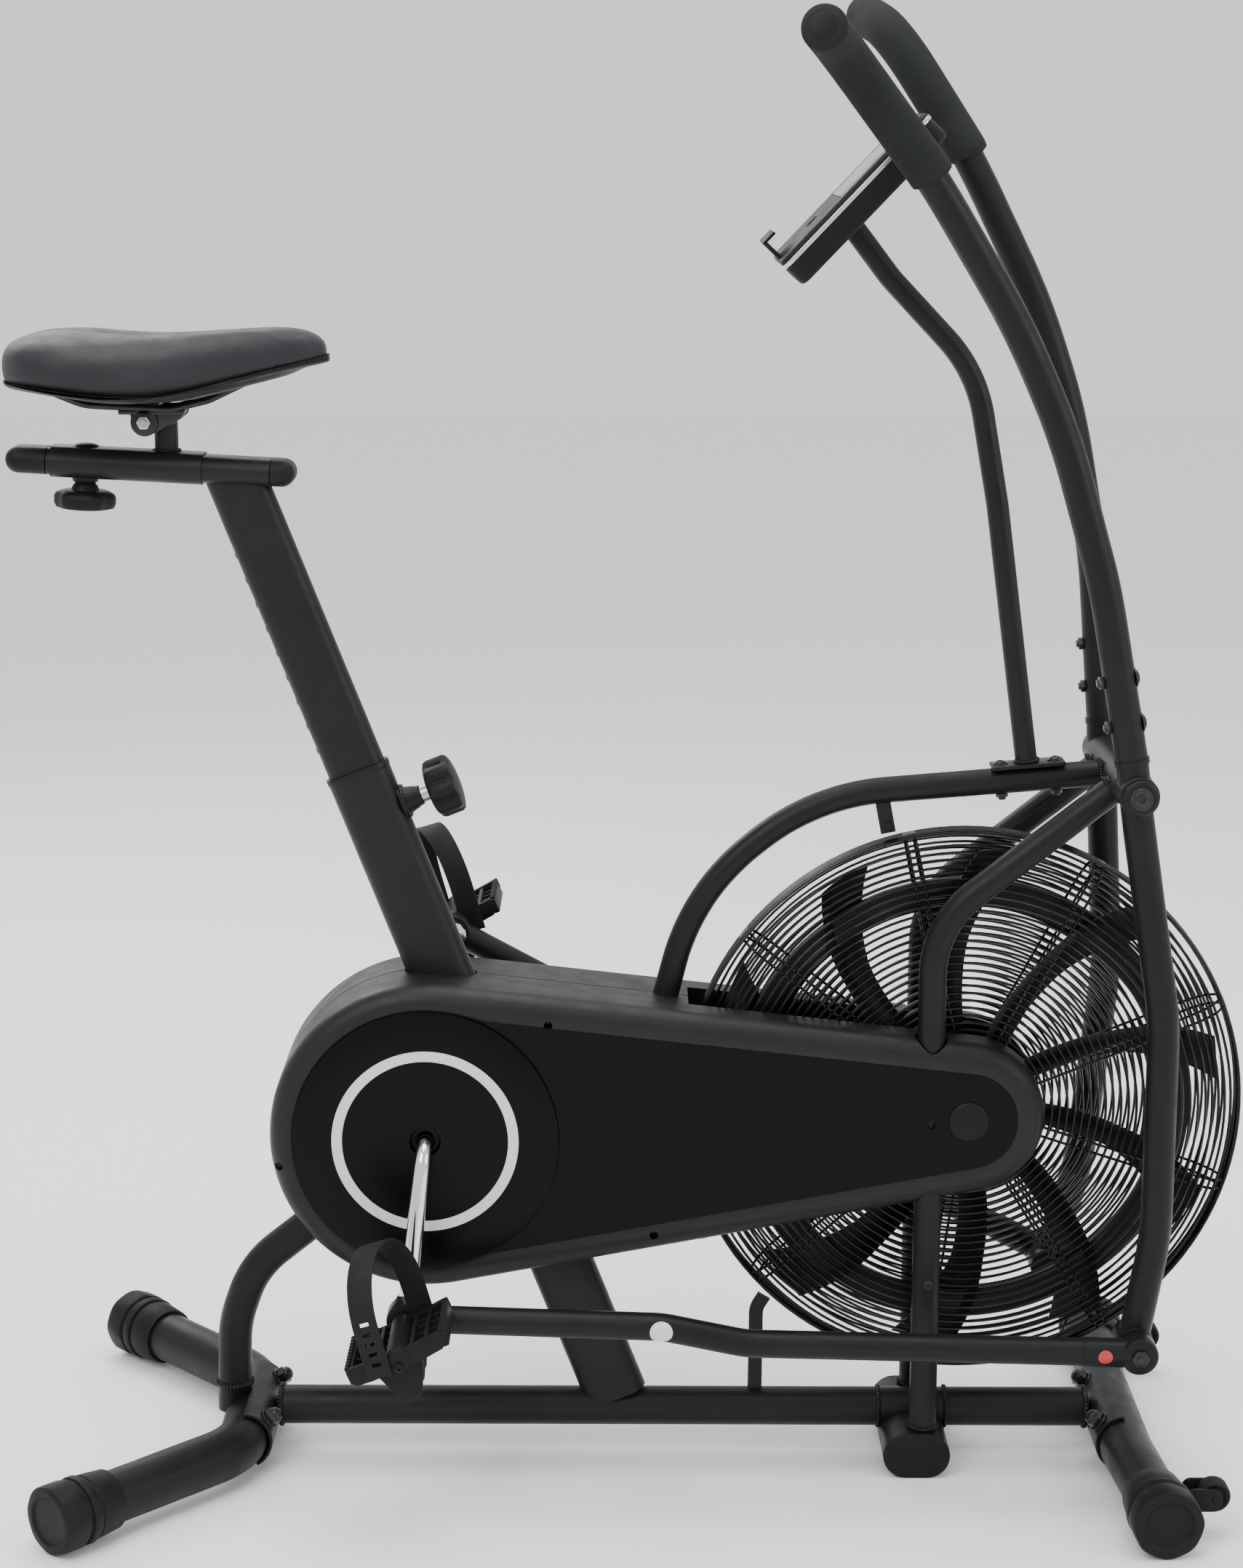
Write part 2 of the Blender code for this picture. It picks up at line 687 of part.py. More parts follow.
def cover(name, side):
    """Half of the housing: a shell with an arch for the fan cage and holes for the frame."""
    made = housing_body(name, side, 0, GAP / 2, COVER_HALF_DEPTH, SHOULDER, PARTS)
    hollow = housing_body(
        f"{name}_hollow", side, COVER_WALL, -0.002, COVER_HALF_DEPTH - COVER_WALL, SHOULDER - COVER_WALL
    )
    wall = COVER_WALL
    arch_outside = disc(f"{name}_arch_wall", FAN_CENTRE, ARCH_RADIUS + wall, -0.01, ARCH_HALF_WIDTH + wall,
                        side, 40, PLASTIC, TOOLS)
    arch = disc(f"{name}_arch", FAN_CENTRE, ARCH_RADIUS, -0.01, ARCH_HALF_WIDTH, side, 40, PLASTIC, TOOLS)
    cut(hollow, arch_outside)
    room = 0.0015
    seat_room = (SLEEVE_SECTION[0] + 2 * room, SLEEVE_SECTION[1] + 2 * room)
    tools = [
        hollow,
        arch,
        oval_tube(f"{name}_seat_hole", seat_room, SEAT_TUBE_FOOT, SLEEVE_TOP, collection=TOOLS),
        tube_tool(f"{name}_brace_hole", BRACE_PATH, BRACE_RADIUS + room),
        tube_tool(f"{name}_top_hole", TOP_TUBE_PATH, TOP_TUBE_RADIUS + room),
        tube_tool(f"{name}_strut_hole", sided(STRUT_PATH, side), STRUT_RADIUS + room),
        disc(f"{name}_crank_hole", CRANK_CENTRE, 0.0145, 0.05, 0.09, side, 24, PLASTIC, TOOLS),
        disc(f"{name}_hub_hole", FAN_CENTRE, 0.030, 0.02, 0.045, side, 24, PLASTIC, TOOLS),
    ]
    return cut(made, *tools)


def build_housing():
    for name, side in SIDES.items():
        cover(f"{name}_cover", side)
        face = COVER_HALF_DEPTH + GAP
        plate = disc(f"crank_disc_{name}", CRANK_CENTRE, 0.1275, face, face + 0.004, side, 36, GLOSS)
        centre_hole = disc(f"disc_hole_{name}", CRANK_CENTRE, 0.0145, 0.06, 0.1, side, 24, GLOSS, TOOLS)
        cut(plate, centre_hole)
        ring_face = face + 0.004 + GAP
        ring = disc(f"white_ring_{name}", CRANK_CENTRE, 0.089, ring_face, ring_face + 0.0012, side, 36, WHITE)
        cut(ring, disc(f"ring_hole_{name}", CRANK_CENTRE, 0.079, 0.06, 0.1, side, 36, WHITE, TOOLS))
    disc("axle_cap", FAN_CENTRE, 0.0195, COVER_HALF_DEPTH + GAP, COVER_HALF_DEPTH + 0.004, -1, 28, PLASTIC)


# ---------------------------------------------------------------- crank, belt and fan
BELT_Y = (0.0352, 0.0412)
DRIVE_RADIUS = 0.100
DRIVEN_RADIUS = 0.020
BELT_THICKNESS = 0.003
CRANK_ARM_RADIUS = 0.0088
EYE_Y = (0.1055, 0.1235)


def crank():
    """One-piece crank: the axle, both bent arms and their eyes."""
    corners = []
    for side in (-1, 1):
        pin_place = crank_pin(side)
        eye = Vector((pin_place.x, sum(EYE_Y) / 2 * side, pin_place.z))
        knee = CRANK_CENTRE + Y * 0.0965 * side
        corners += [eye, knee] if side < 0 else [knee, eye]
    made = tube("crank", bent_path(corners, 0.022, 4), CRANK_ARM_RADIUS, look=CHROME)
    for name, side in SIDES.items():
        pin_place = crank_pin(side)
        join(made, disc(f"crank_eye_{name}", pin_place, 0.0150, *EYE_Y, side, 20, CHROME, TOOLS))
    join(made, disc("crank_hub", CRANK_CENTRE, 0.0120, 0.0335, 0.046, -1, 20, CHROME, TOOLS))
    return made


def pulley(name, centre, radius, hole_radius, steps, look):
    """Flanged belt pulley on the rider's right, turned about its axle."""
    low, high = BELT_Y
    width = high - low
    flange = radius + 0.0035
    profile = [
        (hole_radius, width / 2),
        (flange, width / 2),
        (flange, width / 2 - 0.0008),
        (radius, width / 2 - 0.0012),
        (radius, -width / 2 + 0.0012),
        (flange, -width / 2 + 0.0008),
        (flange, -width / 2),
        (hole_radius, -width / 2),
        (hole_radius, width / 2),
    ]
    middle = Vector((centre.x, -(low + high) / 2, centre.z))
    return turned(name, profile, frame_of(middle, Y, Z), steps, look)


def belt_outline(drive, driven):
    """Outline of an open belt round the two pulleys, as (x, z) points."""
    span = FAN_CENTRE - CRANK_CENTRE
    slope = math.atan2(span.z, span.x)
    touch = math.acos((drive - driven) / math.hypot(span.x, span.z))
    outline = []
    for step in range(9):
        angle = slope - touch + 2 * touch * step / 8
        outline.append((FAN_CENTRE.x + driven * math.cos(angle), FAN_CENTRE.z + driven * math.sin(angle)))
    for step in range(25):
        angle = slope + touch + 2 * (math.pi - touch) * step / 24
        outline.append((CRANK_CENTRE.x + drive * math.cos(angle), CRANK_CENTRE.z + drive * math.sin(angle)))
    return outline


def belt():
    """Ribbed drive belt from the crank pulley to the fan pulley."""
    clear = 0.0012  # the pulleys' facets and the belt's facets stay apart
    inner = belt_outline(DRIVE_RADIUS + clear, DRIVEN_RADIUS + clear)
    room = clear + BELT_THICKNESS / 2
    outer = belt_outline(DRIVE_RADIUS + room, DRIVEN_RADIUS + room)
    low, high = BELT_Y[0] + 0.0016, BELT_Y[1] - 0.0016
    place = Matrix.Translation((0, -low, 0)) @ Matrix.Rotation(math.radians(90), 4, "X")
    return prism("drive_belt", [outer, inner], place, high - low, RUBBER)


FAN_BLADES = 10
FAN_RING = (0.194, 0.222)
FAN_TIP = 0.252


def fan():
    """Bladed wheel: hub, flat ring and paddles set at an angle."""
    made = disc("fan", FAN_CENTRE, 0.052, -0.016, 0.016, 1, 20, PLASTIC)
    ring = disc("fan_ring", FAN_CENTRE, FAN_RING[1], -0.0015, 0.0015, 1, 30, PLASTIC, TOOLS)
    cut(ring, disc("fan_ring_hole", FAN_CENTRE, FAN_RING[0], -0.02, 0.02, 1, 30, PLASTIC, TOOLS))
    join(made, ring)
    for blade in range(FAN_BLADES):
        angle = 2 * math.pi * (blade + 0.25) / FAN_BLADES
        length = FAN_TIP - 0.046
        place = (
            Matrix.Translation(FAN_CENTRE)
            @ Matrix.Rotation(angle, 4, "Y")
            @ Matrix.Translation((0.046 + length / 2, 0, 0))
            @ Matrix.Rotation(math.radians(32), 4, "X")
        )
        join(made, block(f"fan_blade_{blade}", (length, 0.0024, 0.042), place, collection=TOOLS))
    hub = disc("fan_boss", FAN_CENTRE, 0.0130, -0.030, 0.0355, -1, 20, PLASTIC, TOOLS)
    bore = disc("fan_bore", FAN_CENTRE, 0.0056, -0.06, 0.06, 1, 16, PLASTIC, TOOLS)
    return cut(join(made, hub), bore)


def cage(name, side):
    """Half of the fan's guard: a dished grille with two rows of slots."""
    wall = 0.0026
    rim = 0.0008
    dish = CAGE_RADIUS - 0.024
    eye = 0.030
    profile = [
        (eye, CAGE_HALF_WIDTH),
        (dish, CAGE_HALF_WIDTH),
        (CAGE_RADIUS, rim + 0.004),
        (CAGE_RADIUS, rim),
        (CAGE_RADIUS - 2 * wall, rim),
        (dish - wall / 2, CAGE_HALF_WIDTH - wall),
        (eye, CAGE_HALF_WIDTH - wall),
        (eye, CAGE_HALF_WIDTH),
    ]
    made = turned(name, profile, frame_of(FAN_CENTRE, Y * side, Z), 36, PAINT)
    slots = 14
    bar = 0.004
    outlines = []
    for low, high in ((0.060, 0.148), (0.156, 0.243)):
        for slot in range(slots):
            middle = 2 * math.pi * (slot + 0.5) / slots
            outline = []
            for radius, turn in ((low, -1), (high, -1), (high, 1), (low, 1)):
                angle = middle + turn * (math.pi / slots - bar / radius)
                outline.append((radius * math.cos(angle), radius * math.sin(angle)))
            outlines.append(outline)
    place = frame_of(FAN_CENTRE + Y * side * 0.012, Y * side, Z)
    return cut(made, prism(f"{name}_slots", outlines, place, 0.03, collection=TOOLS))


def build_drive():
    crank_axis = axis_empty("crank_axis", CRANK_CENTRE)
    hub_hole = 0.0120 + 0.0004
    carry(crank_axis, crank(), pulley("drive_pulley", CRANK_CENTRE, DRIVE_RADIUS, hub_hole, 28, PLASTIC))
    belt()
    fan_axis = axis_empty("fan_axis", FAN_CENTRE)
    carry(fan_axis, fan(), pulley("fan_pulley", FAN_CENTRE, DRIVEN_RADIUS, 0.0134, 16, STEEL))
    axle = disc("fan_axle", FAN_CENTRE, 0.0050, -0.0665, 0.0665, 1, 16, STEEL)
    for side in (-1, 1):
        join(axle, disc(f"axle_nut_{side}", FAN_CENTRE, 0.0085, 0.0594, 0.0650, side, 6, STEEL, TOOLS))
    for name, side in SIDES.items():
        cage(f"cage_{name}", side)


# ---------------------------------------------------------------- arms, rods and pedals
def lower_arm(name, side, turn):
    """Lower arm: pivot bush, bent tube down to the rod's eye, and a spigot for the upper arm."""
    foot = arm_foot(RIGHT_SWING)
    corners = [
        (0.4567, ARM_Y, 0.7150),
        (PIVOT.x + 0.002, ARM_Y, 0.6600),
        (0.4950, ARM_Y, 0.4700),
        (0.4950, ARM_Y, 0.2600),
        (foot.x, ARM_Y, foot.z),
    ]
    path = turned_about(sided(bent_path(corners, 0.35, 2), side), PIVOT, turn)
    spigot_ends = turned_about(sided([(0.4620, ARM_Y, 0.6870), (0.4411, ARM_Y, 0.7980)], side), PIVOT, turn)
    made = tube(name, path, ARM_RADIUS)
    foot = turned_about([foot], PIVOT, turn)[0]
    bush = (0.0868, 0.1232)
    join(
        made,
        disc(f"{name}_bush", PIVOT, 0.0185, *bush, side, 16, PAINT, TOOLS),
        disc(f"{name}_eye", foot, 0.0180, 0.0885, 0.1230, side, 16, PAINT, TOOLS),
        tube_tool(f"{name}_spigot", spigot_ends, 0.0122),
    )
    bore = disc(f"{name}_bore", PIVOT, 0.0086, 0.05, 0.15, side, 16, PAINT, TOOLS)
    return cut(made, bore)


UPPER_ARM = [
    (0.4565, 0.105, 0.7165),
    (0.4265, 0.106, 0.8760),
    (0.3850, 0.109, 1.0150),
    (0.3400, 0.113, 1.1130),
    (0.2560, 0.130, 1.2480),
    (0.1760, 0.162, 1.3500),
    (0.1545, 0.252, 1.3670),
]
UPPER_ARM_BEND = 0.60
ARM_BOLTS = (0.22, 0.48)  # along the first stretch of the upper arm


def upper_arm(name, side, turn):
    """Upper arm: tube over the spigot, two bolts on its front, bent out to the grip."""
    path = turned_about(sided(bent_path(UPPER_ARM, UPPER_ARM_BEND, 3), side), PIVOT, turn)
    made = tube(name, path, ARM_RADIUS, TUBE_SIDES, STEEL_WALL)
    for index, share in enumerate(ARM_BOLTS):
        low, high = Vector(UPPER_ARM[0]), Vector(UPPER_ARM[1])
        centre = low.lerp(high, share)
        fore = Vector((0.983, 0, 0.185))
        ends = [centre + fore * (ARM_RADIUS - 0.001), centre + fore * (ARM_RADIUS + 0.010)]
        start, end = turned_about(sided(ends, side), PIVOT, turn)
        join(made, pin(f"{name}_bolt_{index}", start, end, 0.0075, 10, end_radius=0.005))
    spigot_ends = turned_about(sided([(0.4620, ARM_Y, 0.6870), (0.4404, ARM_Y, 0.8020)], side), PIVOT, turn)
    return cut(made, tube_tool(f"{name}_socket", spigot_ends, 0.0126))


def grip(name, side, turn):
    """Foam grip over the end of the upper arm, closed at its outer end."""
    start = Vector(UPPER_ARM[3]).lerp(Vector(UPPER_ARM[4]), 0.94)
    last, before = Vector(UPPER_ARM[-1]), Vector(UPPER_ARM[-2])
    outer_end = last + (last - before).normalized() * 0.008
    corners = [start, UPPER_ARM[4], UPPER_ARM[5], outer_end]
    path = turned_about(sided(bent_path(corners, UPPER_ARM_BEND, 3), side), PIVOT, turn)
    made = tube(name, path, GRIP_RADIUS, look=FOAM)
    arm_path = turned_about(sided(bent_path(UPPER_ARM, UPPER_ARM_BEND, 3), side), PIVOT, turn)
    arm_path[-1] += (arm_path[-1] - arm_path[-2]).normalized() * 2 * GAP
    return cut(made, tube_tool(f"{name}_bore", arm_path, ARM_RADIUS + GAP))


def rod(name, side, front):
    """Foot rod from the crank pin to the arm: a tube with a shallow S-bend and two eyes."""
    rear = crank_pin(side)
    along = (front - rear).normalized()
    across = Vector((-along.z, 0, along.x))
    if across.z < 0:
        across = -across
    offsets = ((0.0, 0.0), (0.35, 0.0035), (0.465, -0.0090), (1.0, 0.0))
    corners = [rear + along * ROD_LENGTH * share + across * rise for share, rise in offsets]
    corners = [(c.x, ROD_Y * side, c.z) for c in corners]
    made = tube(name, bent_path(corners, 0.10, 3), ROD_RADIUS)
    inner = ROD_Y - 0.0135
    join(
        made,
        disc(f"{name}_rear_eye", rear, 0.0175, inner, ROD_Y + 0.0108, side, 18, PAINT, TOOLS),
        disc(f"{name}_front_eye", front, 0.0175, inner, ROD_Y + 0.0135, side, 18, PAINT, TOOLS),
        disc(f"{name}_front_bolt", front, 0.0095, ROD_Y, ROD_Y + 0.0185, side, 6, PAINT, TOOLS),
    )
    hole = disc(f"{name}_hole", rear, SPINDLE_RADIUS + 0.0006, 0.1, 0.2, side, 20, PAINT, TOOLS)
    return cut(made, hole)


AXLE_Y = (0.1530, 0.2320)  # the axle stops short of the crank's eye, which leaves the foot rod its own room
PEDAL_TILT = math.radians(-24)  # toe up
PEDAL_Y = (0.1575, 0.2430)


def pedal(name, side):
    """Ribbed pedal block with a keel under it, turned on its axle."""
    centre = crank_pin(side)
    middle = sum(PEDAL_Y) / 2 * side
    width = PEDAL_Y[1] - PEDAL_Y[0]
    place = Matrix.Translation((centre.x, middle, centre.z)) @ Matrix.Rotation(PEDAL_TILT, 4, "Y")
    made = block(name, (0.098, width, 0.021), place, PLASTIC, rounding=0.003)
    keel_place = place @ Matrix.Translation((-0.004, 0, -0.0255))
    keel = block(f"{name}_keel", (0.044, width - 0.02, 0.036), keel_place,
                 collection=TOOLS, rounding=0.004)
    join(made, keel)
    for index in range(5):
        groove = place @ Matrix.Translation((-0.030 + 0.015 * index, 0, 0.0115))
        cut(made, block(f"{name}_groove_{index}", (0.005, width + 0.02, 0.005), groove, collection=TOOLS))
    bore_far = 0.2355
    bore = disc(f"{name}_bore", centre, SPINDLE_RADIUS + 0.0006, 0.14, bore_far, side, 20, PLASTIC, TOOLS)
    return cut(made, bore)


def strap(name, side):
    """Rubber toe strap: an open band from one side of the pedal over to the other."""
    centre = crank_pin(side)
    middle = sum(PEDAL_Y) / 2 * side
    half = (PEDAL_Y[1] - PEDAL_Y[0]) / 2
    place = Matrix.Translation((centre.x, middle, centre.z)) @ Matrix.Rotation(PEDAL_TILT, 4, "Y")
    place = place @ Matrix.Rotation(math.radians(8), 4, "Y")
    gap_out = 0.0016
    height = 0.096
    arc = 12

    def band(offset):
        """Half of a tall loop, as (y, z) points, moved outwards by an offset."""
        points = [(-(half + offset), -0.012)]
        for step in range(arc + 1):
            angle = math.pi - math.pi * step / arc
            rise = (height - 0.030 + offset) * math.sin(angle)
            points.append(((half + offset) * math.cos(angle), 0.030 + rise))
        points.append((half + offset, -0.012))
        return points

    outline = band(gap_out + 0.0026) + band(gap_out)[::-1]
    turn = Matrix.Rotation(math.radians(90), 4, "Z") @ Matrix.Rotation(math.radians(90), 4, "X")
    width = 0.023
    made = prism(name, [outline], place @ turn @ Matrix.Translation((0, 0, -width / 2)), width, RUBBER)
    hole = disc(f"{name}_axle_hole", centre, SPINDLE_RADIUS + 0.0006, 0.14, 0.17, side, 20, RUBBER, TOOLS)
    return cut(made, hole)


def build_linkage():
    for name, side in SIDES.items():
        turn = 0.0 if side < 0 else LEFT_TURN
        swing = RIGHT_SWING if side < 0 else left_swing()
        pivot_axis = axis_empty(f"handle_{name}_axis", PIVOT)
        lower = lower_arm(f"lower_arm_{name}", side, turn)
        carry(pivot_axis, lower, upper_arm(f"upper_arm_{name}", side, turn), grip(f"grip_{name}", side, turn))
        disc(f"pivot_cap_{name}", PIVOT, 0.0170, 0.1285, 0.1345, side, 24, PAINT)
        pin_place = crank_pin(side)
        foot = arm_foot(swing)
        rod_axis = axis_empty(f"rod_{name}_axis", (foot.x, ROD_Y * side, foot.z))
        carry(rod_axis, rod(f"foot_rod_{name}", side, foot))
        pedal_axis = axis_empty(f"pedal_{name}_axis", (pin_place.x, sum(PEDAL_Y) / 2 * side, pin_place.z))
        carry(pedal_axis, pedal(f"pedal_{name}", side), strap(f"pedal_strap_{name}", side))
        disc(f"pedal_axle_{name}", pin_place, SPINDLE_RADIUS, *AXLE_Y, side, 16, CHROME)


# ---------------------------------------------------------------- seat
SLIDER_SECTION = (0.0290, 0.0500)
SADDLE_RAIL_SECTION = (0.0250, 0.0460)
SLIDER_SPAN = (-0.092, 0.0490)
SADDLE_RAIL_SPAN = (-0.1345, 0.1350)
TILT_AXIS = Vector((-0.455, 0, 1.017))


def flat_oval_along(name, section, start, end, collection=PARTS, look=PAINT):
    """A flat oval bar whose longer side lies across the bike."""
    along = Vector(end) - Vector(start)
    place = frame_of(start, along) @ Matrix.Rotation(math.radians(90), 4, "Z")
    outline = oval_outline(section[1], section[0], 6)
    return prism(name, [outline], place, along.length, look, collection)


def seat_post():
    """Oval post with the cross rail that the saddle slides on; its hollow is open at the foot."""
    foot = SLEEVE_TOP - SEAT_UP * POST_IN
    head = SLEEVE_TOP + SEAT_UP * POST_OUT
    made = oval_tube("seat_post", POST_SECTION, foot, head)
    low, high = (SADDLE_RAIL + RAIL_FORE * reach for reach in SADDLE_RAIL_SPAN)
    rail = flat_oval_along("saddle_rail", SADDLE_RAIL_SECTION, low, high, TOOLS)
    inner = (POST_SECTION[0] - 0.004, POST_SECTION[1] - 0.004)
    post_hollow = oval_tube("post_hollow", inner, foot - SEAT_UP * 0.01, head, collection=TOOLS)
    rail_inner = (SADDLE_RAIL_SECTION[0] - 0.004, SADDLE_RAIL_SECTION[1] - 0.004)
    rail_hollow = flat_oval_along(
        "rail_hollow_space", rail_inner, low + RAIL_FORE * 0.004, high - RAIL_FORE * 0.004, TOOLS
    )
    return cut(join(made, rail), post_hollow, rail_hollow)


def seat_slider():
    """Sleeve on the saddle rail, with the stem that carries the saddle's clamp."""
    low, high = (SADDLE_RAIL + RAIL_FORE * reach for reach in SLIDER_SPAN)
    made = flat_oval_along("seat_slider", SLIDER_SECTION, low, high)
    stem_foot = Vector((-0.4375, 0, 0.976))
    stem = pin("slider_stem", stem_foot, stem_foot + Z * 0.040, 0.011, 16)
    knob_place = SADDLE_RAIL + RAIL_FORE * -0.0615
    hump = pin("slider_hump", knob_place, knob_place + RAIL_UP * 0.0185, 0.014, 16)
    boss = pin("slider_boss", knob_place, knob_place - RAIL_UP * 0.0185, 0.012, 16)
    bore_section = (SADDLE_RAIL_SECTION[0] + 2 * GAP, SADDLE_RAIL_SECTION[1] + 2 * GAP)
    bore_ends = (low - RAIL_FORE * 0.02, high + RAIL_FORE * 0.02)
    bore = flat_oval_along("slider_bore", bore_section, *bore_ends, TOOLS)
    return cut(join(made, stem, hump, boss), bore)


def saddle_clamp():
    """Clamp under the saddle: two cheeks beside the stem, their bolt and a top plate."""
    made = disc("saddle_clamp", TILT_AXIS, 0.013, 0.0125, 0.0210, 1, 20, PAINT)
    cheek = disc("clamp_cheek", TILT_AXIS, 0.013, 0.0125, 0.0210, -1, 20, PAINT, TOOLS)
    bolt = disc("clamp_bolt", TILT_AXIS, 0.0040, -0.0245, 0.0245, 1, 12, PAINT, TOOLS)
    plate_place = Matrix.Translation((TILT_AXIS.x + 0.006, 0, TILT_AXIS.z + 0.0093))
    plate = block("clamp_plate", (0.060, 0.042, 0.0044), plate_place, collection=TOOLS)
    return join(made, cheek, bolt, plate)


SADDLE_SECTIONS = (
    # distance from the tail, half width, top height, bottom height
    (0.000, 0.060, 1.0740, 1.0520),
    (0.020, 0.098, 1.0870, 1.0420),
    (0.060, 0.118, 1.0930, 1.0360),
    (0.105, 0.112, 1.0930, 1.0310),
    (0.150, 0.082, 1.0930, 1.0300),
    (0.195, 0.054, 1.0955, 1.0380),
    (0.240, 0.038, 1.0990, 1.0480),
    (0.280, 0.031, 1.1020, 1.0580),
    (0.299, 0.018, 1.0960, 1.0720),
)
SADDLE_TAIL = -0.5900


def saddle():
    """Padded saddle: rounded sections from a wide tail to a narrow nose."""
    around = 16
    bm = bmesh.new()
    rings = []
    for reach, half_width, top, bottom in SADDLE_SECTIONS:
        ring = []
        middle = (top + bottom) / 2
        for step in range(around):
            angle = 2 * math.pi * step / around
            across = math.copysign(abs(math.cos(angle)) ** 0.75, math.cos(angle))
            rise = math.copysign(abs(math.sin(angle)) ** 0.75, math.sin(angle))
            place = (SADDLE_TAIL + reach, half_width * across, middle + (top - middle) * rise)
            ring.append(bm.verts.new(place))
        rings.append(ring)
    for ring, after in zip(rings, rings[1:]):
        for step in range(around):
            beside = (step + 1) % around
            bm.faces.new((ring[step], ring[beside], after[beside], after[step]))
    bm.faces.new(rings[0])
    bm.faces.new(rings[-1][::-1])
    return solid("saddle", bm, VINYL)


def knob(name, place, radius, height, lobes, shank_radius, shank_length, look=PLASTIC):
    """Lobed hand knob with its shank; local +Z points from the shank to the knob's face."""
    outline = []
    steps = lobes * 6
    for step in range(steps):
        angle = 2 * math.pi * step / steps
        wave = radius - 0.0022 * (1 - math.cos(lobes * angle)) / 2
        outline.append((wave * math.cos(angle), wave * math.sin(angle)))
    made = prism(name, [outline], place, height, look)
    shank = cylinder(f"{name}_shank", (0, 0, -shank_length), (0, 0, 0.004), shank_radius, 12,
                     collection=TOOLS)
    shank.data.transform(place)
    return join(made, shank)


def build_seat():
    post = seat_post()
    slider = seat_slider()
    clamp = saddle_clamp()
    seat = saddle()
    carry(axis_empty("seat_post_axis", SLEEVE_TOP), post)
    carry(axis_empty("seat_slider_axis", SADDLE_RAIL), slider)
    carry(axis_empty("saddle_axis", TILT_AXIS), clamp, seat)
    boss_face = SLEEVE_TOP - SEAT_UP * 0.0455 + SEAT_FORE * 0.0485
    height_place = frame_of(boss_face + SEAT_FORE * 0.0085, SEAT_FORE)
    reach = 0.0085 + 0.0485 - POST_SECTION[0] / 2 - 0.0008
    height_knob = knob("height_knob", height_place, 0.029, 0.029, 8, 0.0034, reach)
    carry(axis_empty("height_knob_axis", boss_face), height_knob)
    slider_root = SADDLE_RAIL + RAIL_FORE * -0.0615 - RAIL_UP * (0.0185 + GAP)
    lock_place = frame_of(slider_root - RAIL_UP * 0.0075, -RAIL_UP)
    lock_knob = knob("slider_knob", lock_place, 0.029, 0.0185, 6, 0.0095, 0.0075)
    carry(axis_empty("slider_knob_axis", slider_root), lock_knob)


# ---------------------------------------------------------------- console
POST_PATH = bent_path(
    [(0.3730, 0, 0.6945), (0.3390, 0, 0.9400), (0.3160, 0, 1.0650), (0.2350, 0, 1.1500), (0.1950, 0, 1.2020)],
    0.14,
    3,
)
CONSOLE_FORE = Vector((0.690, 0, 0.724)).normalized()
CONSOLE_OUT = Vector((-CONSOLE_FORE.z, 0, CONSOLE_FORE.x))
CONSOLE_LOW = Vector((0.1280, 0, 1.1670))
CONSOLE_SIZE = (0.1850, 0.1600, 0.0310)
BUTTON_RADIUS = 0.0065


def console_place(along, out):
    """Placing matrix on the console: local X up its face, local Z out of its face."""
    turn = Matrix((CONSOLE_FORE, Y, CONSOLE_OUT)).transposed().to_4x4()
    return Matrix.Translation(CONSOLE_LOW + CONSOLE_FORE * along + CONSOLE_OUT * out) @ turn


def console_post():
    """Thin mast on its base plate, which two bolts hold to the top tube."""
    made = tube("console_post", POST_PATH, 0.0105)
    plate_place = Matrix.Translation((0.3740, 0, 0.6940)) @ Matrix.Rotation(math.radians(-4.8), 4, "Y")
    plate = block("post_plate", (0.070, 0.030, 0.004), plate_place, collection=TOOLS)
    for index, shift in enumerate((-0.026, 0.026)):
        bolt_place = plate_place @ Matrix.Translation((shift, 0, 0))
        bolt = cylinder(f"post_bolt_{index}", (0, 0, 0), (0, 0, 0.009), 0.0065, 6, collection=TOOLS)
        bolt.data.transform(bolt_place)
        join(made, bolt)
    join(made, plate)
    tube_cut = tube_tool("post_plate_cut", TOP_TUBE_PATH, TOP_TUBE_RADIUS + GAP)
    length, width, depth = CONSOLE_SIZE
    room = (length + 2 * GAP, width, depth + 2 * GAP)
    console_cut = block("post_console_cut", room, console_place(length / 2, -depth / 2), collection=TOOLS)
    return cut(made, tube_cut, console_cut)


def console_body():
    """Slim display case with a lip at its low edge for a phone."""
    length, width, depth = CONSOLE_SIZE
    made = block("console_body", CONSOLE_SIZE, console_place(length / 2, -depth / 2), PLASTIC, rounding=0.005)
    lip = block("console_lip", (0.004, 0.070, 0.030), console_place(0.004, 0.006), collection=TOOLS)
    hook = block("console_hook", (0.014, 0.070, 0.003), console_place(0.010, 0.0195), collection=TOOLS)
    recess = block("lens_recess", (0.0900, 0.1300, 0.0060), console_place(0.125, 0.0005), collection=TOOLS)
    hole_foot = CONSOLE_LOW + CONSOLE_FORE * 0.048 - CONSOLE_OUT * 0.008
    hole = pin("button_hole", hole_foot, hole_foot + CONSOLE_OUT * 0.02, BUTTON_RADIUS + 0.0005, 16)
    return cut(join(made, lip, hook), recess, hole)


def build_console():
    console_post()
    console_body()
    block("console_lens", (0.0892, 0.1292, 0.0022), console_place(0.125, -0.0010), LENS)
    foot = CONSOLE_LOW + CONSOLE_FORE * 0.048 - CONSOLE_OUT * 0.0045
    button = cylinder("console_button", foot, foot + CONSOLE_OUT * 0.0060, BUTTON_RADIUS, 16, PLASTIC)
    carry(axis_empty("console_button_axis", foot), button)


build_frame()
build_feet()
build_housing()
build_drive()
build_linkage()
build_seat()
build_console()
